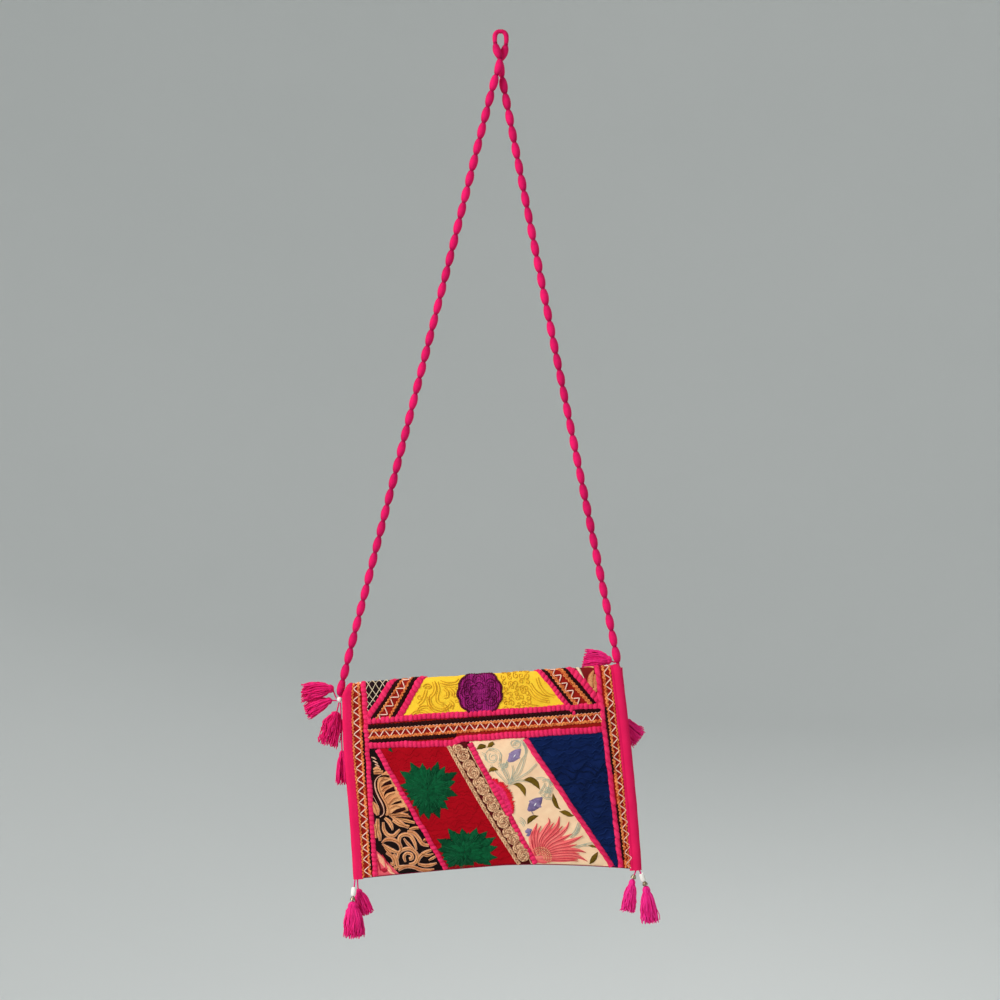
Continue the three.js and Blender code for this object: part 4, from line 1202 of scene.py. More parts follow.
FILLS = [
    ([(-115.3, 89.5), (-111, 89.3), (-106.0, 89.5)], (3, 4, 3)),
    ([(-102.4, 133.4), (-92, 133.0), (-83.5, 134.0)], (2, 4.5, 3)),
    ([(-99.8, 138.2), (-91.5, 143.0), (-83.1, 144.9)], (2, 3.2, 2)),
    ([(-118.5, 139.9), (-116.5, 145.7), (-116.8, 154.8)], (2, 4, 2)),
    ([(-94.0, 136.4), (-85.6, 139.1), (-77.6, 141.7)], (2, 3.2, 2)),
    ([(-83.5, 148.0), (-76.5, 146.9), (-74.1, 147.5)], (2, 3.2, 2)),
    ([(-73.4, 172.4), (-67.9, 175.0), (-60.9, 173.9)], (1.5, 2.8, 1)),
    ([(-70.0, 160.2), (-67.2, 158.2), (-68.6, 154.3)], (1.5, 2.8, 2)),
    ([(-104.2, 185.9), (-101.2, 185.0), (-98.2, 186.9)], (1.5, 2.6, 1.5)),
    ([(-109.2, 164.2), (-105.2, 169.1), (-103.2, 171.1)], (1.5, 3, 1.5)),
]
WEDGES = [
    ([(-109.0, 104.3), (-104.6, 101.6), (-98.5, 99.8)], (0.3, 3.0, 4.4)),
    ([(-106.7, 114.3), (-103.9, 109.6), (-95.5, 106.4)], (0.3, 3.2, 5.0)),
    ([(-99.6, 122.2), (-95.0, 120.8), (-89.5, 119.6)], (0.3, 2.2, 2.6)),
    ([(-102.0, 132.0), (-94.1, 129.0), (-86.0, 126.8)], (0.3, 4.2, 3.2)),
    ([(-100.2, 94.2), (-105.2, 93.2), (-109.5, 94.2)], (2.4, 1.8, 0.3)),
    ([(-81.2, 136.8), (-88.2, 135.8), (-97.3, 135.0)], (2.2, 1.6, 0.3)),
]
SPINE = [
    (-107.3, 91.8), (-112.0, 94.7), (-114.5, 99.3), (-114.3, 106.4), (-111.9, 113.6), (-108.9, 120.0),
    (-107.3, 125.9), (-108.0, 131.1), (-111.8, 134.0),
]
SPIKE = [
    [(-116.6, 74.0), (-114.2, 75.0), (-111.8, 76.6)],
    [(-115.2, 77.6), (-112.8, 79.0), (-110.6, 80.8)],
    [(-113.6, 81.4), (-111.4, 82.2), (-109.0, 83.8)],
]
print("Flourishes:", len(SCROLLS) + len(FILLS))

# %% [markdown]
# The flourishes are sewn in layers: the spokes of the large fan and the thick gold strokes, a brown crease
# of painted shade along each, black wedges that part the petals of the fan, and last the pale edging.

# %% Gold scrolls on black
FAN_SPOKES = 19
scrolls = Gather(33)
spine_path = sewn(SPINE, 0.5)
for share in np.linspace(0.06, 0.92, FAN_SPOKES):
    root = spine_path[int(share * (len(spine_path) - 1))] + np.array((2.2, 0.0))
    spoke = even_steps((root, root + np.array((34.0, -16.0 + 10.0 * share))), 0.7)
    stitch(scrolls, spoke, SCROLL_SIDES, PETAL_TUCK, (3.6, 4.4, 5.0), 0.5, columns=5)
sew(scrolls, SCROLL_SIDES, wider(FILLS, 1.3), 0.6, 0.0)
sew(scrolls, SCROLL_SIDES, wider(SCROLLS, 1.3), 0.8, 0.1)
scrolls.sew_on("gold_scrolls", gold_thread, "scroll_cloth")
creases = Gather(38)
sew(creases, SCROLL_SIDES, [(places, (0.3, 0.7, 0.3)) for places, _ in FILLS + SCROLLS], 0.25, 0.95)
# A thin brown strip of painted shade: the crease that makes each thick stroke look like two cords side by
# side
crease_shade_strip = fibre("brown_painted_crease_shade", "#5A280E", "#9A5028", across=0.5, depth=0.15, sheen=0.1)
creases.sew_on("scroll_creases", crease_shade_strip, "scroll_cloth")
wedges = Gather(37)
sew(wedges, SCROLL_SIDES, WEDGES, 0.8, 0.7)
sew(wedges, SCROLL_SIDES, [(SPINE, (2.0, 5.0, 5.6, 6.0, 2.6))], 0.5, 0.6)
wedges.sew_on("black_wedges", black_edge, "scroll_cloth")
# Fine pale cotton: a light rim that lifts the gold off the black
edging = fibre("pale_gold_edging", "#C88464", "#FFCFB0", across=0.5, depth=0.15, sheen=0.2)
edges = Gather(34)
outline(edges, SCROLL_SIDES, wider(SCROLLS[6:], 1.2), 0.5)
sew(edges, SCROLL_SIDES, [(SPINE, (0.7, 1.5, 1.6, 0.9))], 0.5, 1.1)
sew(edges, SCROLL_SIDES, [(stroke, (0.8, 1.7, 0.8)) for stroke in SPIKE], 0.6, 0.2)
edges.sew_on("scroll_edging", edging, "scroll_cloth")
print("Scroll patch:", scrolls.count + creases.count + wedges.count + edges.count, "points")

# %% [markdown]
# Below it lies a small salmon scrap with a few leaves in peach and crimson silk.

# %% Leaves on salmon
SALMON_SIDES = PATCHES["salmon_patch"][0]
peach = Gather(35)
PEACH = [
    ([(-116.3, 171.1), (-113.2, 177.3), (-110.1, 184.4)], (1.0, 5.8, 1.2)),
    ([(-108.4, 180.4), (-106.6, 184.6), (-103.6, 188.6)], (0.8, 3.0, 0.8)),
    ([(-107.8, 186.6), (-104.3, 190.0), (-100.9, 192.0)], (1, 3, 1)),
]
CRIMSON = [
    ([(-114.8, 186.1), (-110.9, 187.6), (-106.8, 187.0)], (0.8, 5.0, 0.8)),
    ([(-117.4, 176.0), (-115.6, 182.0), (-115.0, 187.6)], (0.8, 1.4, 0.8)),
    ([(-112.6, 171.2), (-109.6, 176.8), (-107.0, 183.2)], (0.8, 1.4, 0.8)),
]
sew(peach, SALMON_SIDES, PEACH, 0.6, 0.1)
peach_thread = silk("peach_thread", "#EE8A6C", "#FFC4A0", across=0.6)
peach.sew_on("peach_stitches", peach_thread, "salmon_cloth")
crimson = Gather(36)
sew(crimson, SALMON_SIDES, CRIMSON, 0.6, 0.15)
crimson_thread = silk("crimson_thread", "#A0102C", "#D03044", across=0.6)
crimson.sew_on("crimson_stitches", crimson_thread, "salmon_cloth")
print("Salmon patch:", peach.count + crimson.count, "points")

# %% [markdown]
# The cream patch is the finest piece: a chrysanthemum in salmon silk with dark red lines along its petals,
# olive leaves, lilac flowers, a shaggy carnation half under the braid, and thin grey-green stems and curls.
# First come the strokes of the chrysanthemum.

# %% Petals of the chrysanthemum
CREAM_SIDES = PATCHES["cream_patch"][0]
PETALS = [
    ([(39.7, 181.0), (37.6, 171.2), (36.9, 162.3), (39.5, 156.3)], (1.5, 3.6, 3.2, 0.4)),
    ([(42.8, 181.2), (40.4, 170.4), (40.1, 159.9), (42.9, 152.1), (43.7, 149.5)], (2, 4.2, 4.2, 3, 0.4)),
    ([(44.4, 177.7), (45.0, 167.3), (51.1, 157.0), (56.0, 149.4), (55.4, 144.8)], (2, 4.2, 4.2, 3, 0.4)),
    ([(46.2, 177.0), (49.4, 168.4), (57.1, 160.9), (63.8, 153.3), (66.6, 144.2)], (2, 4.4, 4.4, 3.2, 0.4)),
    ([(48.0, 177.1), (54.7, 169.6), (65.0, 163.1), (72.6, 156.6), (75.8, 150.2)], (2, 4.2, 4.2, 3, 0.4)),
    ([(49.7, 178.1), (60.8, 173.5), (70.7, 171.5), (80.7, 168.6), (88.6, 165.3)], (2, 4, 4, 3, 0.4)),
    ([(50.4, 180.8), (62.2, 178.9), (73.8, 178.7), (82.7, 179.7), (90.6, 182.3)], (2, 4, 4, 3, 0.4)),
    ([(49.3, 184.3), (60.1, 184.1), (72.6, 184.0), (83.2, 186.4), (91.4, 191.2)], (2, 4, 4, 3, 0.4)),
    ([(47.4, 186.6), (61.6, 188.2), (74.0, 189.0), (82.0, 190.4)], (1.6, 2.4, 2.2, 0.4)),
    ([(45.5, 176.4), (47.5, 166.0), (55.0, 156.6), (60.5, 150.2)], (1.5, 3.4, 3.2, 0.4)),
    ([(47.2, 177.0), (52.0, 168.5), (61.5, 161.0), (69.0, 154.1)], (1.5, 3.4, 3.2, 0.4)),
    ([(49.0, 177.6), (58.0, 170.9), (68.0, 167.0), (78.0, 162.5)], (1.5, 3.4, 3.2, 0.4)),
    ([(50.0, 179.4), (61.5, 176.2), (72.0, 175.1), (82.0, 173.9)], (1.5, 3.2, 3.0, 0.4)),
    ([(50.0, 182.6), (61.0, 181.4), (73.0, 181.4), (84.0, 183.3)], (1.5, 3.2, 3.0, 0.4)),
    ([(43.5, 179.8), (42.5, 168.9), (43.8, 159.1), (47.5, 152.6)], (1.5, 3.4, 3.2, 0.4)),
    ([(48.3, 185.7), (60.0, 186.5), (72.0, 186.7), (82.0, 188.7)], (1.5, 3.2, 3.0, 0.4)),
    ([(40.5, 181.8), (38.4, 173.9), (38.2, 166.0)], (1.5, 3.6, 0.4)),
    ([(39.5, 183.6), (44.0, 184.5), (50.5, 183.1)], (2.4, 3.8, 2.7)),
    ([(42.0, 187.2), (48.0, 188.2), (56.0, 188.2)], (2.6, 3.2, 1.4)),
    ([(44.0, 180.3), (47.5, 179.8), (51.5, 180.8)], (2.7, 3.7, 2.7)),
]
LONG_PETALS = PETALS[:17]
print("Petals:", len(PETALS))

# %% [markdown]
# The leaves and the lilac flowers swell and end in a point. The stems are thin lines, so each is only a list
# of places.

# %% Leaves, lilac flowers and stems
OLIVE_LEAVES = [
    ([(-11.5, 72.2), (-6.9, 69.9), (-2.3, 70.0)], (0.5, 5, 2.5)),
    ([(-0.7, 71.1), (2.6, 68.7), (5.8, 67.1)], (0.5, 4.2, 3)),
    ([(-1.6, 96.4), (2.4, 93.0), (8.6, 94.1)], (0.5, 4.8, 0.4)),
    ([(21.9, 108.8), (28.5, 110.6), (32.3, 115.2), (33.8, 121.9)], (0.4, 4.2, 4.6, 0.4)),
    ([(32.4, 105.9), (40.0, 105.9), (45.1, 109.8), (48.7, 116.2)], (0.4, 5.2, 5.2, 0.4)),
    ([(61.4, 120.9), (62.3, 127.6), (64.6, 134.0), (68.0, 137.5)], (0.4, 4, 3.6, 0.4)),
    ([(66.7, 139.4), (72.7, 141.1), (77.8, 144.1), (83.0, 144.3)], (0.4, 4.2, 4, 0.4)),
    ([(34.3, 150.0), (37.0, 145.5), (41.2, 143.2), (45.6, 142.4)], (0.4, 4.6, 4, 0.4)),
    ([(93.6, 194.0), (97.0, 190.2), (99.8, 186.4), (102.4, 182.6)], (0.6, 3.8, 5.0, 3.4, 0.5)),
    ([(93.4, 175.4), (99.6, 177.2), (105.6, 181.8)], (0.4, 2.4, 0.4)),
]
LILACS = [
    ([(19.0, 86.2), (22.0, 84.2), (25.5, 81.0), (29.0, 77.7), (32.3, 74.7)], (3.0, 8.6, 11.0, 7.6, 1.6)),
    ([(20.2, 78.6), (25.4, 80.8), (30.8, 83.6)], (1.6, 7.0, 1.6)),
    ([(35.6, 136.4), (39.2, 133.8), (43.0, 130.4), (46.9, 127.3), (50.7, 124.1)], (3.0, 9.6, 12.0, 8.6, 1.6)),
    ([(37.4, 126.8), (43.0, 130.2), (49.0, 133.6)], (1.6, 8.0, 1.6)),
    ([(31.5, 157.3), (34.6, 156.9), (38.4, 155.3)], (2.0, 6.4, 0.8)),
    ([(32.4, 161.4), (35.2, 160.3), (37.4, 158.1)], (1.0, 4.6, 0.8)),
    ([(39.1, 137.2), (39.8, 138.9), (40.7, 140.6)], (0.8, 0.8)),
]
STEMS = [
    [(18.5, 107.2), (13.7, 97.2), (10.7, 88.2), (11.1, 82.9)],
    [(18.4, 107.7), (21.5, 101.3), (22.8, 95.1), (22.2, 90.7)],
    [(18.8, 108.2), (28.9, 98.2), (34.0, 87.8), (36.5, 76.6), (34.3, 69.4)],
    [(19.3, 107.3), (30.4, 101.8), (38.8, 97.0), (46.8, 90.0)],
    [(18.1, 105.9), (17.2, 99.2), (14.0, 92.8), (8.8, 90.7)],
    [(9.0, 87.2), (13.4, 88.8), (18.8, 86.9)],
    [(11.2, 94.5), (15.1, 90.2), (18.1, 84.7)],
    [(47.2, 119.6), (51.1, 114.6), (54.1, 109.5)],
    [(51.5, 122.5), (55.9, 116.6), (58.5, 110.7)],
    [(55.8, 124.6), (58.8, 119.4), (60.8, 114.3)],
    [(45.5, 104.5), (51.7, 104.4), (56.9, 107.0), (60.3, 110.8)],
    [(49.1, 117.1), (54.4, 118.3), (59.8, 117.8)],
    [(53.9, 112.1), (56.4, 114.9), (60.4, 116.0)],
    [(74.7, 165.1), (80.4, 159.7), (84.5, 151.6)],
    [(76.4, 166.1), (82.1, 160.6), (85.7, 153.8)],
    [(80.3, 175.8), (87.5, 174.3), (95.4, 175.2)],
    [(27.8, 142.3), (31.2, 146.0), (32.7, 149.7)],
    [(26.7, 145.7), (29.7, 148.2), (31.5, 151.8)],
    [(-6.4, 75.7), (-3.0, 78.5), (-2.0, 83.4)],
    [(0.1, 72.5), (4.5, 73.2), (8.8, 75.7)],
    [(11.4, 76.8), (12.5, 81.2), (10.9, 85.6)],
    [(16.9, 108.6), (11.1, 102.1), (3.8, 93.1), (1.0, 89.0)],
    [(17.3, 108.3), (23.8, 99.8), (29.0, 90.8), (32.6, 84.1)],
    [(17.7, 108.7), (29.7, 105.5), (39.0, 106.9)],
    [(32.5, 84.9), (36.8, 78.9), (36.4, 72.7), (33.7, 66.3)],
    [(21.1, 67.1), (26.0, 64.3), (32.2, 65.5), (35.9, 69.6)],
    [(24.1, 70.3), (27.4, 67.5), (31.2, 68.5)],
    [(77.5, 165.0), (83.3, 160.6), (85.2, 154.6)],
    [(83.1, 175.4), (91.1, 173.5), (99.0, 172.5)],
    [(51.4, 107.7), (57.8, 106.5), (62.1, 112.9)],
    [(49.9, 119.9), (55.0, 124.9), (61.3, 124.5)],
]
CURLED_ENDS = [(3.6, 80.8, 9.4), (28.4, 69.2, 6.8), (16.4, 89.8, 4.2), (56.3, 117.6, 4.2)]
print("Leaves:", len(OLIVE_LEAVES), "lilac strokes:", len(LILACS), "stems:", len(STEMS))

# %% [markdown]
# Each colour of silk is one gather. Silk is laid flat, so a petal shows threads along its length and a leaf
# slanted ones. The grey-green stems lie in double rows and stay pale against the cream.

# %% Silk work on cream
STEM = 0.8
salmon_silk = silk("salmon_silk", "#F0505A", "#FF8A82", along=0.7, depth=0.2)
olive_silk = silk("olive_silk", "#3E2F06", "#8A6A1C", across=0.6, depth=0.2, slant=25)
lilac_silk = silk("lilac_silk", "#574578", "#A692B8", across=0.6, depth=0.2, slant=25)
mint_silk = silk("grey_green_silk", "#A4A894", "#D0D2BC", across=0.5, depth=0.15)
SILK_WORK = {
    "chrysanthemum": (salmon_silk, wider(PETALS, 1.5), 0.7, 0.1),
    "olive_leaves": (olive_silk, wider(OLIVE_LEAVES, 1.15), 0.7, 0.15),
    "lilac_flowers": (lilac_silk, LILACS, 0.6, 0.1),
    "grey_green_stems": (mint_silk, [(stem, (0.6, 0.9, 0.6)) for stem in STEMS], 0.5, 0.05),
}
for name, (strands, strokes, rise, lift) in SILK_WORK.items():
    silk_work = Gather(len(name))
    sew(silk_work, CREAM_SIDES, strokes, rise, lift)
    if name == "grey_green_stems":
        for across, down, radius in CURLED_ENDS:
            curl(silk_work, CREAM_SIDES, (across, down), radius, STEM)
            curl(silk_work, CREAM_SIDES, (across + 0.6, down + 0.5), radius * 0.6, STEM)
        second_rows(silk_work, CREAM_SIDES, STEMS, 1.5, (0.4, 0.7, 0.4), 0.4)
    silk_work.sew_on(name, strands, "cream_cloth")
    print(name, silk_work.count, "points")

# %% [markdown]
# The chrysanthemum gets a dark line along each long petal and arcs of buff seed stitches at its base, and
# the lilac flowers a white heart.

# %% Petal lines, seeds and hearts
petal_lines = Gather(41)
sew(petal_lines, CREAM_SIDES, [(petal, (0.4, 0.85, 0.85, 0.4)) for petal, _ in LONG_PETALS], 0.4, 0.8)
line_silk = silk("rose_red_silk", "#A8142C", "#D8364A", along=0.6)
petal_lines.sew_on("petal_lines", line_silk, "cream_cloth")
SEED_MIDDLE = np.array((45.0, 184.5))
SEED_HALF = 0.8
# One seed every 1.7 mm on each ring: 95 degrees at a radius of 1 mm
SEED_TURN = 95.0
seeds = Gather(45)
for ring in (4.0, 6.2, 8.4, 10.6):
    for turn in np.arange(-125.0, 40.0, SEED_TURN / ring):
        way = on_circle(math.radians(turn))
        place = SEED_MIDDLE + ring * way
        seed = [place - SEED_HALF * way, place, place + SEED_HALF * way]
        sew(seeds, CREAM_SIDES, [(seed, (0.5, 0.9, 0.5))], 0.5, 1.0, 0.3)
buff_silk = silk("buff_silk", "#E89468", "#FFCE9C", across=0.5)
seeds.sew_on("chrysanthemum_seeds", buff_silk, "cream_cloth")
hearts = Gather(42)
HEARTS = [
    ([(24.5, 82.5), (25.7, 81.2), (26.9, 79.8)], (0.5, 1.3, 0.5)),
    ([(41.9, 132.2), (43.2, 130.6), (44.4, 129.1)], (0.5, 1.6, 0.5)),
]
sew(hearts, CREAM_SIDES, HEARTS, 0.5, 0.6)
# Floss silk: the one thread here with a shine, so the hearts catch the light
white_silk = fibre("white_silk", "#E6E0EC", "#FFFFFF", across=0.5, rough=0.5)
hearts.sew_on("flower_hearts", white_silk, "cream_cloth")
print("Petal lines, seeds and hearts:", petal_lines.count + seeds.count + hearts.count, "points")

# %% [markdown]
# The carnation is worked in cut loops that stand out like a fringe, two layers in pink and one in red. Short
# stitches fan out from a curved axis, each a little uneven, and the cut ends scatter the light, so that it
# glows without a highlight.

# %% Carnation
FRINGE = 10.0
LAYERS = (0.0, 0.38, 0.62)
carnation = Gather(43)
carnation_red = Gather(44)
AXIS = sewn([(-0.1, 102.7), (7.2, 114.2), (11.9, 124.6), (16.2, 131.6), (19.6, 137.8)], 0.5)
outwards = -beside(AXIS)
for i, on_axis in enumerate(AXIS):
    share = i / (len(AXIS) - 1)
    reach = FRINGE * math.sin(math.pi * share) ** 0.7
    for layer, rooted in enumerate(LAYERS):
        gather = carnation_red if layer == 2 else carnation
        from_axis = rooted * reach + gather.random.uniform(-0.8, 0.8)
        start = on_axis + outwards[i] * (from_axis - 0.6)
        end = on_axis + outwards[i] * (from_axis + reach * 0.36)
        end = end + gather.random.uniform(-1.6, 1.6, 2)
        path = trimmed(even_steps((start, end), 0.6), CREAM_SIDES, -1.0)
        if path is not None:
            lift = 0.1 + 0.15 * layer + 0.1 * gather.random.uniform()
            gather.strip(path, (1.0, 1.5, 0.4), 0.55, lift, columns=4)
shaggy_pink = fibre("carnation_pink_silk", "#E4105A", "#FF3C7C", along=0.6, rough=0.75, sheen=0.2)
shaggy_red = fibre("carnation_red_silk", "#C00420", "#FF2C3C", along=0.6, rough=0.75, sheen=0.2)
carnation.sew_on("carnation_fringe", shaggy_pink, "cream_cloth")
carnation_red.sew_on("carnation_heart", shaggy_red, "cream_cloth")
print("Carnation:", carnation.count + carnation_red.count, "points")

# %% [markdown]
# The navy and red patches look plain from afar, but they are quilted with wavy rows of thread in nearly the
# same colour, which only show where the light catches them.

# %% Tone-on-tone quilting
QUILTING = {
    "navy_waves": (PATCHES["navy_patch"][0], "#010410", "#162F68", "navy_cloth", 1.0),
    "red_waves": (RED_SIDES, "#90000C", "#B4061A", "red_cloth", 0.3),
}
ROW_SPACING = 4.6
QUILT_THREAD = 1.3
for name, (sides, deep, bright, slot, rise) in QUILTING.items():
    tone = Gather(len(name))
    for run in np.arange(66, PAST_HEM - 2, ROW_SPACING):
        across = np.linspace(-118, 126, 400)
        level_row = np.stack((across, np.full(400, run)), -1)
        level_row[:, 1] += 2.0 * waves(level_row, 19, 52) + 1.2 * waves(level_row * 1.7, 11, int(run))
        row = trimmed(level_row, sides, TUCK)
        if row is not None:
            tone.strip(even_steps(row, 0.8), (QUILT_THREAD,), rise, 0.0, columns=4)
    thread = silk("tone_thread_" + name, deep, bright, across=0.5, depth=0.15)
    tone.sew_on(name, thread, slot)
    print(name, tone.count, "points")

# %% [markdown]
# ## Side bindings
# A hot-pink tape is folded round each side of the flap and sewn down. Its section is a soft U: over the
# front, round the edge and a little way behind, and it is darker as painted shade round the edge and behind.
# The right tape is wider and has a crease where its inner fold was pressed, with painted shade along it. The
# section is swept down the edge, with a slow unevenness along it, and it draws in at the shoulder, where the
# flap folds.

# %% Folded tapes
# Glazed cotton tape: one strong, flat pink with a fine grid and slow clouds of wear
tape_cotton = fibre(
    "hot_pink_cotton_tape", "#CC0A48", "#EE205E", across=0.8, along=0.8, depth=0.07, sheen=0.2, mottle=22.0
)
# Points of the section as (inwards from the edge, height)
SECTIONS = {
    "left": [
        (10.0, 0.1), (9.95, 1.2), (9.4, 1.8), (8.2, 2.15), (7.0, 2.3), (5.0, 2.75), (3.2, 2.8), (1.7, 2.3),
        (0.6, 1.3), (0.1, 0.2), (0.05, -1.0), (0.5, -2.2), (1.4, -2.9), (2.6, -3.1), (6, -3.1), (8.8, -3.0),
    ],
    "right": [
        (12.0, 0.1), (11.9, 1.1), (11.3, 1.7), (10.2, 1.95), (9.4, 1.85), (8.9, 1.85), (8.3, 2.1),
        (6.6, 2.65), (4.6, 2.9), (2.6, 2.6), (1.0, 1.6), (0.2, 0.4), (0.05, -1.0), (0.5, -2.2), (1.4, -2.9),
        (8.8, -3.0),
    ],
}
SHOULDERS = {"left": 8.0, "right": 2.5}
CREASE_AT = 9.1
HEM_HEIGHT = -1.4
for hand, edge, inwards in (("left", left_edge, 1), ("right", right_edge, -1)):
    node = "binding_" + hand
    section = np.array(SECTIONS[hand])
    end = float(run_at(bottom_edge(edge(FLAP_LENGTH))))
    runs = np.linspace(-WRAP, end, 130)
    place = np.stack((np.broadcast_to(inwards * 200.0, runs.shape), runs), -1)
    uneven = 0.18 * waves(place, 34, 70) + 0.07 * waves(place, 11, 71)
    rows = np.zeros((len(runs), len(section), 3))
    shoulder = np.maximum(1 - np.abs(runs - 1) / 11, 0) ** 2 * SHOULDERS[hand]
    inset = section[None, :, 0] + shoulder[:, None] * (1 - section[None, :, 0] / section[:, 0].max())
    rows[..., 0] = edge(down_at(runs))[:, None] + inwards * inset + 0.5 * uneven[:, None]
    rows[..., 1] = runs[:, None]
    on_front = np.clip(section[:, 1] / 2.7, 0, 1)
    rows[..., 2] = section[None, :, 1] + (uneven[:, None] - 0.1) * on_front[None, :]
    around = lengths(section)
    uv = np.stack(np.broadcast_arrays(runs[:, None], around[None, :]), -1)
    if inwards < 0:
        rows = rows[:, ::-1]
        uv = uv[:, ::-1]
    # Painted shade: darker round the tape's edge and behind it, and along the right tape's crease
    tone_and_shade = 0.5 - 0.5 * (section[:, 1] < 0.5)
    if hand == "right":
        tone_and_shade = tone_and_shade - 0.45 * np.exp(-(((section[:, 0] - CREASE_AT) / 0.5) ** 2)) * (section[:, 1] > 0)
    tape = Gather()
    tape.grid(rows[:, ::-1], uv[:, ::-1], (tone_and_shade if inwards < 0 else tone_and_shade[::-1])[None, :])
    hem = rows[-1:].repeat(2, 0)
    hem[1, :, 2] = HEM_HEIGHT
    tape.grid(hem[:, ::-1], uv[-2:, ::-1])
    tape.sew_on(node + "_tape", tape_cotton, "binding_cloth", node)
print("Bindings:", len(SECTIONS))

# %% [markdown]
# ## Flap and pouch
# Under the patchwork the flap is one plain cotton cloth, seen from inside and on the back, where its tail is
# sewn down. The pouch is a flat back and a fuller front sewn together at the sides and the bottom, open at
# the top under the fold. Both are closed shells with a real thickness.

# %% Flap cloth
# Plain-woven crimson cotton: darker and duller than the patches, with slow clouds of wear
lining = fibre(
    "plain_crimson_cotton", "#7C0E30", "#A41C48", across=0.9, along=0.9, depth=0.1, sheen=0.25, mottle=25.0
)
INSIDE_TAPE = 3
runs = np.concatenate((np.linspace(-TAIL, FOLD_RUN, 44), np.linspace(FOLD_RUN, PAST_HEM, 110)[1:]))
shares = np.linspace(0, 1, 70)
left = left_edge(down_at(runs)) + INSIDE_TAPE
right = right_edge(down_at(runs)) - INSIDE_TAPE
outer = np.zeros((len(runs), len(shares), 3))
outer[..., 0] = left[:, None] + (right - left)[:, None] * shares[None, :]
outer[..., 1] = np.minimum(runs[:, None], run_at(bottom_edge(outer[..., 0])))
outer[..., 2] = 0.12 * waves(outer, 24, 80) - 0.2
inner = outer.copy()
inner[..., 2] -= CLOTH - 0.3
shell = np.concatenate((outer, inner[:, ::-1], outer[:, :1]), 1)
flap_cloth = Gather()
flap_cloth.grid(shell[:, ::-1], shell[:, ::-1, :2])
for row in (0, -1):
    flap_cloth.grid(np.stack((outer[row], inner[row])), np.stack((outer[row, :, :2], inner[row, :, :2])))
flap_piece = flap_cloth.make("flap_cloth", lining, "pouch_cloth", ("flap",))

# %% Pouch cloth
POUCH_HALF = 133
MOUTH = 13
BOTTOM_SEAM = 185
SEAM_DEPTH = 2.6
AROUND = 60
LEVELS = 60


def pouch_ring(down, inset):
    """One level of the pouch: along the swelling front from right to left, then back along the flat back."""
    half = POUCH_HALF - 2 * inset
    closing = min(1.0, (BOTTOM_SEAM - inset + 4 - down) / 40) ** 0.5
    across = half * np.cos(np.linspace(0, math.pi, AROUND))
    level = np.full(AROUND, down)
    room = front_depth(across, max(down, FOLD_RADIUS)) - CLOTH - 0.9
    front = SEAM_DEPTH + (room - SEAM_DEPTH) * (1 - np.abs(across / half) ** 3) * closing - inset
    front = np.maximum(front, inset + 0.05)
    sag = 0.25 * waves(np.stack((across, level), -1), 40, 90)
    face = np.stack((across, -front + 0.2 + 0.3 * sag, -level), -1)
    back = np.stack((across[::-1], np.minimum(-inset - 0.25 + sag[::-1], -inset), -level), -1)
    return np.concatenate((face, back, face[:1]))


levels = np.linspace(MOUTH, BOTTOM_SEAM, LEVELS)
inner_levels = np.linspace(MOUTH, BOTTOM_SEAM - CLOTH, LEVELS)
outside = np.array([pouch_ring(down, 0.0) for down in levels])
within = np.array([pouch_ring(down, CLOTH) for down in inner_levels])
pouch_cloth = Gather()
flat_uv = np.stack(np.broadcast_arrays(lengths(outside[20])[None, :], levels[:, None]), -1)
pouch_cloth.grid(outside[:, ::-1], flat_uv[:, ::-1])
pouch_cloth.grid(within, flat_uv)
pouch_cloth.grid(np.stack((outside[0], within[0])), flat_uv[:2])
for layer in (outside, within):
    seam = (layer[-1, :AROUND], layer[-1, AROUND : 2 * AROUND][::-1])
    pouch_cloth.grid(np.stack(seam), flat_uv[:2, :AROUND])
pouch_piece = pouch_cloth.make("pouch_cloth", lining, "pouch_cloth", ("pouch",), to_frame)
print("Flap and pouch shells:", flap_cloth.count + pouch_cloth.count, "points")

# %% [markdown]
# ## Tubes of yarn
# Straps, tassel threads and loose ends are all tubes along a path, so one helper makes them: rings of points
# round the path, with a radius for each ring. The UV runs along the tube and round it in millimetres. A
# second helper lays a hoop, for thread that is tied round something.

# %% Tubes and hoops
BACKWARDS = np.array((0.0, 1.0, 0.0))


def level_side(axis):
    """A unit vector across an axis, level with the cloth."""
    side = np.cross(BACKWARDS, axis)
    return side / np.linalg.norm(side)


def hoop(middle, side, front, radius, points):
    """A closed ring in the plane of two directions."""
    angle = np.linspace(0, 2 * math.pi, points)[:, None]
    return middle + radius * (side * np.cos(angle) + front * np.sin(angle))


def tube(gather, path, radius, sides, tint_and_shade):
    radius = np.broadcast_to(radius, (len(path),))
    ahead = np.gradient(path, axis=0)
    ahead /= np.linalg.norm(ahead, axis=1, keepdims=True) + 1e-9
    depth = BACKWARDS
    if abs(ahead[:, 1]).max() > 0.93:
        depth = np.array((0.0, 0.3, 1.0))
    side = np.cross(depth, ahead)
    side /= np.linalg.norm(side, axis=1, keepdims=True) + 1e-9
    front = np.cross(ahead, side)
    turns = np.linspace(math.pi / 2, math.pi * 2.5, sides + 1)[None, :, None]
    out = side[:, None] * np.cos(turns) + front[:, None] * np.sin(turns)
    points = path[:, None] + out * radius[:, None, None]
    uv = np.stack(np.broadcast_arrays(lengths(path)[:, None], turns[..., 0] * radius.mean()), -1)
    gather.grid(points, uv, tint_and_shade)


def in_metres(points):
    return np.asarray(points) / 1000


# %% [markdown]
# ## The bobble strap
# The strap is a string of yarn bobbles. Each is a spindle wound lengthwise with magenta yarn and tied off
# with a few turns of thread at its neck. The two strands follow the same route as in the CAD part, from the
# top of the hanging loop, where a few turns of thread join them, to the top corners of the bag, where a short
# end of yarn is tied into the tab.

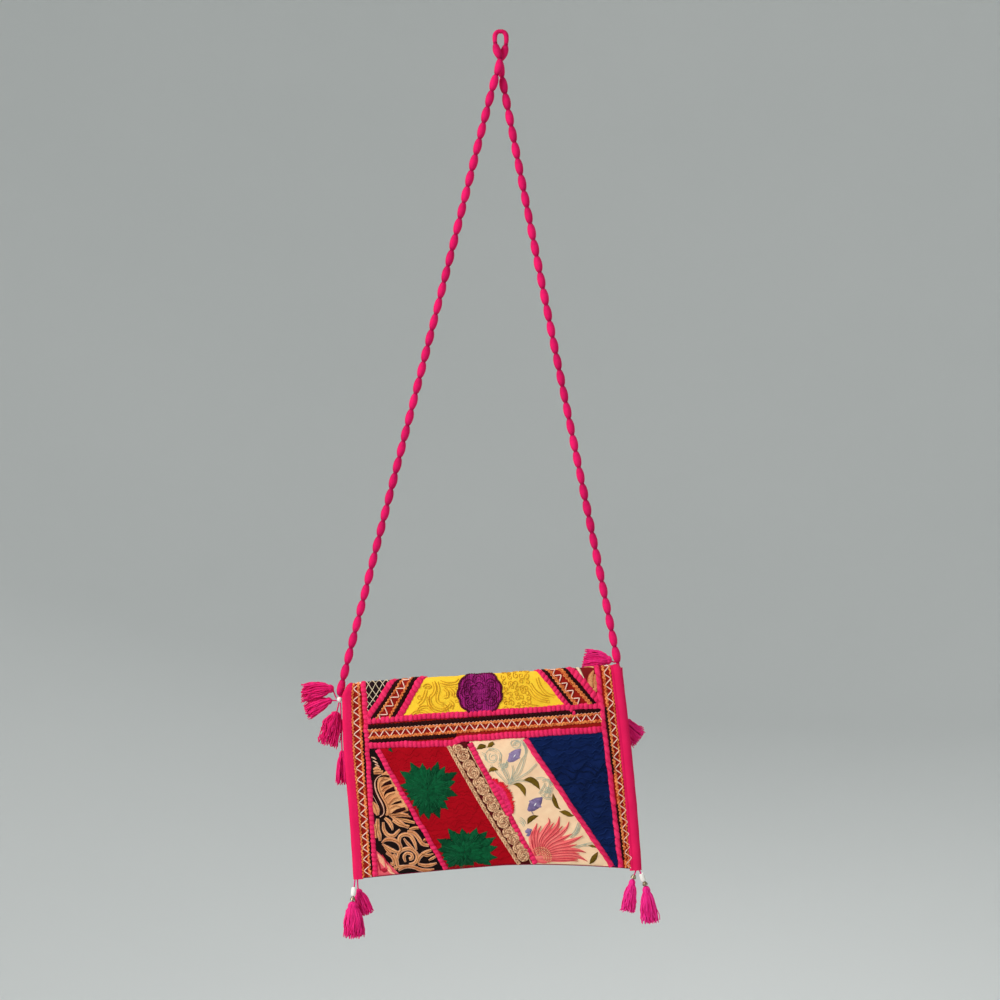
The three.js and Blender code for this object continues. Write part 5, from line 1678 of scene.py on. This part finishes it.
# %% Two routes
ROUTES = {
    "strap_left": [
        (0.4, 0, 5.6), (-1.6, -0.1, 5.4), (-4.5, -0.4, 2.8), (-5.2, -1.4, -3), (-3.6, -3.4, -13),
        (-0.6, -4.5, -22), (-0.8, -4.5, -30), (-5, -3.8, -43), (-58.5, -2, -255), (-128.3, -0.4, -529),
        (-160, 0, -655), (-161.3, 0, -661.5),
    ],
    "strap_right": [
        (0.8, 0, 5.6), (2.8, 0.1, 5.4), (5.7, 0.4, 2.8), (6.4, 1.4, -3), (4.6, 3.4, -13), (1, 4.5, -22),
        (0.6, 4.5, -30), (3, 4.2, -45), (43.2, 2, -253), (101.8, 0.4, -545), (116.6, 0, -620),
        (118.2, 0, -628.5),
    ],
}
TIED_IN = {
    "strap_left": [(-161.3, 0, -661.5), (-159.6, -0.5, -662.4), (-155.0, -0.9, -662.6)],
    "strap_right": [(118.2, 0, -628.5), (118.7, -0.5, -632.0), (119.0, -0.9, -637.0)],
}


def blend(low, high, start, end, t):
    """From low at the start to high at the end, and straight on beyond them."""
    return (end - t) / (end - start) * low + (t - start) / (end - start) * high


def rounded(points, step):
    """A curve through points that doesn't overshoot where they are unevenly spaced."""
    p = np.asarray(points, float)
    p = np.concatenate((2 * p[:1] - p[1:2], p, 2 * p[-1:] - p[-2:-1]))
    knots = np.concatenate(((0,), np.cumsum(np.linalg.norm(np.diff(p, axis=0), axis=1) ** 0.5)))
    parts = []
    for i in range(1, len(p) - 2):
        k = knots[i - 1 : i + 3]
        t = np.linspace(k[1], k[2], 40, endpoint=False)[:, None]
        a = [blend(p[i - 1 + j], p[i + j], k[j], k[j + 1], t) for j in range(3)]
        b = [blend(a[j], a[j + 1], k[j], k[j + 2], t) for j in range(2)]
        parts.append(blend(b[0], b[1], k[1], k[2], t))
    return even_steps(np.concatenate(parts + [p[-2:-1]]), step)


print("Routes:", len(ROUTES))

# %% [markdown]
# A bobble is a tube that swells between two necks, with painted shade where the yarn is drawn in. Three
# turns of thread tie each neck, and a ribbed whipping joins the strands at the top of the loop, where the
# first bobbles stay thin.

# %% Bobbles
PITCH = 16.6
BELLY = 4.15
NECK = 1.7
RINGS = 14
TIE_TURNS = (-0.9, 0.0, 0.9)
WHIPPING_PITCH = 0.8
LOOP_TOP = np.array((0.0, 0.0, 5.45))
# Wool yarn wound lengthwise: soft matt ridges along each bobble, and an uneven dye
strap_yarn = fibre(
    "magenta_wrapped_yarn", "#AC0848", "#F81C6C", along=0.85, depth=0.25, rough=0.75, sheen=0.25, mottle=6.0
)
for number, (node, route) in enumerate(ROUTES.items()):
    path = rounded(route, 0.5)
    length = lengths(path)[-1]
    bobbles = round(length / PITCH)
    strand = Gather(100 + number)
    swell = np.maximum(np.sin(np.linspace(0, math.pi, RINGS + 1)), 0) ** 0.6
    for b in range(bobbles):
        wanted = np.linspace(b, b + 1, RINGS + 1) / bobbles * length
        size = (0.3 if b == 0 else 1.0) * strand.random.uniform(0.93, 1.05)
        # Painted shade: each bobble's random tone darkens towards its two necks
        tone_and_shade = strand.random.uniform(0.3, 0.75) - 0.9 * (1 - swell) ** 2
        tube(strand, places_at(path, wanted), NECK + (BELLY - NECK) * swell * size, 22, tone_and_shade[:, None])
        for turn in TIE_TURNS if b else ():
            at = wanted[0] + turn
            middle, further = places_at(path, np.array((at, at + 1)))
            ahead = (further - middle) / np.linalg.norm(further - middle)
            side = level_side(ahead)
            # Painted shade: the tie turns in the neck take a dark tone
            tube(strand, hoop(middle, side, np.cross(ahead, side), NECK + 0.1, 17), 0.45, 6, -0.1)
    tube(strand, even_steps(TIED_IN[node], 0.5), NECK, 14, 0.4)
    if node == "strap_right":
        over = np.linspace(-1.8, 3.0, 33)[:, None]
        ribs = NECK + 0.3 + 0.2 * np.abs(np.sin(math.pi * over / WHIPPING_PITCH))
        turn = np.linspace(0, 2 * math.pi, 19)[None, :]
        sleeve = LOOP_TOP + np.stack(np.broadcast_arrays(over, ribs * np.cos(turn), ribs * np.sin(turn)), -1)
        strand.grid(sleeve, sleeve[..., :2], 0.2)
    strand.make(node + "_bobbles", strap_yarn, "strap_yarn", (node,), in_metres)
    print(node, bobbles, "bobbles over", round(length), "mm")

# %% [markdown]
# ## Tassels
# A tassel is a hank of cut yarn on a thread: the strands swell over a small head, are tied in below it, and
# spread into a skirt. Each one is modelled strand by strand, with the spread that its CAD solid gives, so the
# edges look loose and the ends uneven. One yarn is used in lit and shaded copies: deeper on the left as
# painted shade, and brightest at the right corner as painted light.

# %% Sizes of the tassels, and their yarn in lit and shaded copies
# Start of the thread, neck and tip as (across, down), the depth of start and neck, the spread of the skirt,
# how flat it lies, and the number of strands
TASSELS = {
    "left_upper": ((-149.2, 15.2), (-151.6, 5), (-184.3, 3.6), 5, 5, 9.3, 0.5, 176),
    "left_lower": ((-149, 17.4), (-154.4, 16.2), (-181.2, 23), 5, 5, 7.5, 0.5, 144),
    "left_hanging": ((-146.8, 19.3), (-149.8, 28.9), (-160.9, 62.2), 5, 5, 10.5, 0.45, 192),
    "left_long": ((-145.2, 19.4), (-146.8, 68), (-149.2, 102), 4, 4, 6, 0.55, 88),
    "right_top": ((132.3, -3.2), (128.6, -5.2), (100.5, -12.4), 6.8, 6.8, 9.5, 0.4, 160),
    "right_side": ((135.5, 21.3), (129.7, 53.4), (152.5, 72.9), 3.4, 3.4, 9.6, 0.3, 176),
    "corner_left_front": ((-141, 195.6), (-144.6, 217), (-144.6, 252.6), -7.5, -11, 9.8, 0.7, 224),
    "corner_left_back": ((-138.6, 195.6), (-139.4, 207), (-132.6, 232.8), -6, 0, 8, 0.5, 144),
    "corner_right_inner": ((139.4, 204.2), (135.6, 213.4), (128.7, 245), -6, -5, 6.9, 0.6, 160),
    "corner_right_outer": ((143.1, 204.2), (148.4, 220.6), (150.6, 257.2), -7.5, -7, 8.0, 0.7, 224),
}
WAY = np.array((0.0, 0.05, 0.1, 0.17, 0.28, 0.42, 0.58, 0.72, 0.86, 0.98))
SPREAD = np.array((0.16, 0.36, 0.44, 0.42, 0.68, 0.84, 0.94, 1.0, 1.04, 1.06))
# One yarn in lit and shaded copies: deeper on the left as painted shade, brightest at the right corner as
# painted light
LIT_AND_SHADED_YARNS = {
    "left": ("#DA0A58", "#FA2A80"),
    "corner_right": ("#F20A76", "#FF3A9C"),
    "corner_left": ("#E80868", "#FF3490"),
    "right": ("#E80868", "#FF3490"),
}
# Cut wool yarn: bright, matt and fuzzy, with the ply showing across each strand
tassel_yarns = {
    light_zone: fibre("cut_yarn_lit_as_" + light_zone, deep, bright, along=0.6, across=0.9, depth=0.15, rough=0.75, sheen=0.25)
    for light_zone, (deep, bright) in LIT_AND_SHADED_YARNS.items()
}


def local(place, depth):
    return np.array((place[0], depth, -place[1]), float)


# These copies of the yarn differ by painted light and shade
print("Dye lots:", len(LIT_AND_SHADED_YARNS))

# %% [markdown]
# Each strand starts in the head, is drawn in at the neck and wanders a little on its way to the rim. Tassels
# that lie sideways droop with their own weight. In the hanging one at the left two strands in five are short,
# so that it has two tiers.

# %% Strands, heads and threads
DROOP = 4.0
SHORT_TIER = 0.62
TIE_RADIUS = 0.29
for number, (name, (anchor, neck, tip, tied, depth, spread, flat, count)) in enumerate(TASSELS.items()):
    hank = Gather(120 + number)
    start = local(anchor, tied)
    middle = local(neck, depth)
    skirt = local(tip, depth) - middle
    axis = skirt / np.linalg.norm(skirt)
    side = level_side(axis)
    for s in range(count):
        turn = hank.random.uniform(0, 2 * math.pi)
        out = math.sqrt(hank.random.uniform(0.03, 1.0))
        tier = SHORT_TIER if name == "left_hanging" and s % 5 < 2 else 1.0
        reach = hank.random.uniform(0.8, 1.03) * tier
        crimp = np.sin(WAY * math.pi * hank.random.uniform(2, 5) + hank.random.uniform(0, 6.3)) * WAY
        bow = hank.random.normal(0, 1.0, 2)[None, :] * crimp[:, None]
        wide = spread * SPREAD * out * math.cos(turn)
        thick = spread * SPREAD * out * math.sin(turn) * np.interp(WAY, (0, 1), (1, flat))
        spine = middle + skirt * (WAY * reach)[:, None] + side * (wide + bow[:, 0])[:, None]
        spine[:, 1] += thick + bow[:, 1]
        spine[:, 2] -= DROOP * axis[0] ** 2 * WAY**2
        tube(hank, spine, np.linspace(0.7, 0.45, len(WAY)), 5, hank.random.uniform(0.05, 1.0))
    for share in np.linspace(0.13, 0.2, 5):
        tie = hoop(middle + skirt * share, side, BACKWARDS, spread * TIE_RADIUS, 21)
        tube(hank, tie, 0.55, 6, 0.75)
    thread = np.linspace(start, middle + axis, 24)
    tube(hank, thread, 0.7, 8, 0.4)
    yarn = next(made for light_zone, made in tassel_yarns.items() if name.startswith(light_zone))
    hank.make("tassel_" + name + "_strands", yarn, "tassel_yarn", ("tassel_" + name,), to_frame)
print("Tassels:", len(TASSELS))

# %% [markdown]
# ## Beads and caps
# White beads and small metal caps sit on the threads of the corner tassels, and one bead under the left
# strap end. The beads are pressed glass: white and glossy. Its pits are too fine to be seen, but they break
# up the highlight. The caps are thin stamped brass gone dull, with a rolled rim, so they give a soft shine of
# uneven strength. Both patterns are laid over the box of a piece, so their scale is its length over the size
# of a speck.

# %% Pressed glass and stamped brass
BEAD_LENGTH = 9.0
PIT = 0.0225
CAP_WIDTH = 5.4
TARNISH = 0.006
glass, glass_tree, glass_shader = new_material("white_pressed_glass")
cloud = add_node(glass_tree, "TexNoise", {"Scale": BEAD_LENGTH / PIT, "Detail": 2.0}).outputs["Fac"]
milk = {"Factor": cloud, "A": linear("#E9E2D6"), "B": linear("#FFFDF8")}
white = add_node(glass_tree, "Mix", milk, data_type="RGBA").outputs["Result"]
dent = add_node(glass_tree, "Bump", {"Height": cloud, "Strength": 0.25, "Distance": 0.0002}).outputs["Normal"]
feed(glass_tree, glass_shader, {"Base Color": white, "Normal": dent, "Roughness": 0.16, "IOR": 1.52})

brass, brass_tree, brass_shader = new_material("dull_stamped_brass")
tarnish = add_node(brass_tree, "TexNoise", {"Scale": CAP_WIDTH / TARNISH, "Detail": 4.0}).outputs["Fac"]
metal = {"Factor": tarnish, "A": linear("#6E6252"), "B": linear("#B9A888")}
dull = add_node(brass_tree, "Mix", metal, data_type="RGBA").outputs["Result"]
worn = add_node(brass_tree, "MapRange", {"Value": tarnish, "To Min": 0.28, "To Max": 0.5}).outputs["Result"]
feed(brass_tree, brass_shader, {"Base Color": dull, "Roughness": worn, "Metallic": 1.0})
print("Materials:", glass.name, brass.name)

# %% [markdown]
# A bead or cap is a profile turned round its thread, hollow where the thread runs. Its place is counted back
# from the neck of the tassel that it sits on.

# %% Turned beads and caps
HOLE = 1.0
TURNED_SIDES = 28


def turned(name, profile, material, slot, node, at, axis):
    """A turned (radius, height) profile with its middle at a place on a thread and its axis along it."""
    axis = np.asarray(axis, float) / np.linalg.norm(axis)
    side = level_side(axis)
    points = at + revolved(profile, TURNED_SIDES) @ np.stack((side, np.cross(axis, side), axis))
    bead = Gather()
    bead.grid(points[:, ::-1], points[:, ::-1, :2])
    bead.make(name, material, slot, (node,), to_frame)


# Name, the tassel below it, how far back from the neck, its length, and whether it is a bead
ON_THREADS = (
    ("bead_corner_left", "corner_left_front", 10.4, 9.0, True),
    ("bead_corner_right", "corner_right_outer", 9.8, 8.6, True),
    ("cap_corner_left", "corner_left_front", 3.4, 3.8, False),
    ("cap_corner_right_inner", "corner_right_inner", 3.4, 3.8, False),
    ("cap_corner_right_outer", "corner_right_outer", 3.4, 3.8, False),
)
for node, on, back, long, is_bead in ON_THREADS:
    anchor, neck, _, tied, depth = TASSELS[on][:5]
    end = local(neck, depth)
    thread = end - local(anchor, tied)
    at = end - thread / np.linalg.norm(thread) * back
    half = long / 2
    if is_bead:
        swell = np.linspace(-math.pi / 2, math.pi / 2, 16)
        profile = [(1.35 + 1.35 * math.cos(t) ** 0.6, half * 0.97 * math.sin(t)) for t in swell]
        profile = [(HOLE, -half * 0.9)] + profile + [(HOLE, half * 0.9), (HOLE, -half * 0.9)]
        turned(node + "_glass", profile, glass, "white_bead", node, at, thread)
    else:
        profile = [
            (HOLE, -half), (1.6, -half), (1.75, -half + 0.3), (1.65, -half + 0.7), (2.1, -half + 1.3),
            (2.45, -half + 2.0), (2.6, -half + 2.9), (2.75, half - 0.4), (2.75, half - 0.1), (2.6, half),
            (2.3, half - 0.1), (2.2, half - 0.9), (1.6, -half + 1.6), (HOLE, -half + 1.0), (HOLE, -half),
        ]
        turned(node + "_brass", profile, brass, "metal_cap", node, at, thread)
swell = np.linspace(-1.2, 1.2, 18)
profile = [(HOLE, -2.6)] + [(3 * math.cos(t), 2.9 * math.sin(t)) for t in swell] + [(HOLE, 2.6), (HOLE, -2.6)]
at = local((-145.6, 16), 5)
turned("bead_strap_left_glass", profile, glass, "white_bead", "bead_strap_left", at, (0.3, 0, -1))
print("Beads and caps:", len(ON_THREADS) + 1)

# %% [markdown]
# ## Strap tabs
# Behind the top corners a folded tab of the tape carries each strap end. It is a small cushion of cloth with
# rounded edges and a row of stitches round it.

# %% Folded tabs
TAB_DEPTH = 4.05
PUFF = 1.95
STITCH_ROW = 0.16
TABS = {
    "strap_tab_left": [(-142.2, 11.4), (-142.2, 15.4), (-124, 19.5), (-124, 9.5)],
    "strap_tab_right": [(131.4, 1.9), (131.4, 20.5), (139.4, 20.5), (139.4, 1.9)],
}
for node, corners in TABS.items():
    corners = np.array(corners, float)
    u = np.linspace(0, 1, 17)
    top = corners[0] + u[:, None] * (corners[3] - corners[0])
    low = corners[1] + u[:, None] * (corners[2] - corners[1])
    spots = top[:, None] + u[None, :, None] * (low - top)[:, None]
    edge = np.minimum(np.minimum(u, 1 - u)[:, None], np.minimum(u, 1 - u)[None, :])
    puff = PUFF * np.minimum(1, edge / 0.12) ** 0.5 - 0.35 * np.exp(-(((edge - STITCH_ROW) / 0.03) ** 2))
    tab = Gather()
    for hand in (-1, 1):
        face = np.concatenate((spots[..., :1], (TAB_DEPTH + hand * puff)[..., None], -spots[..., 1:]), -1)
        tab.grid(face[:, ::-hand], spots[:, ::-hand])
    tab.make(node + "_tape", tape_cotton, "binding_cloth", (node,), to_frame)
print("Tabs:", len(TABS))
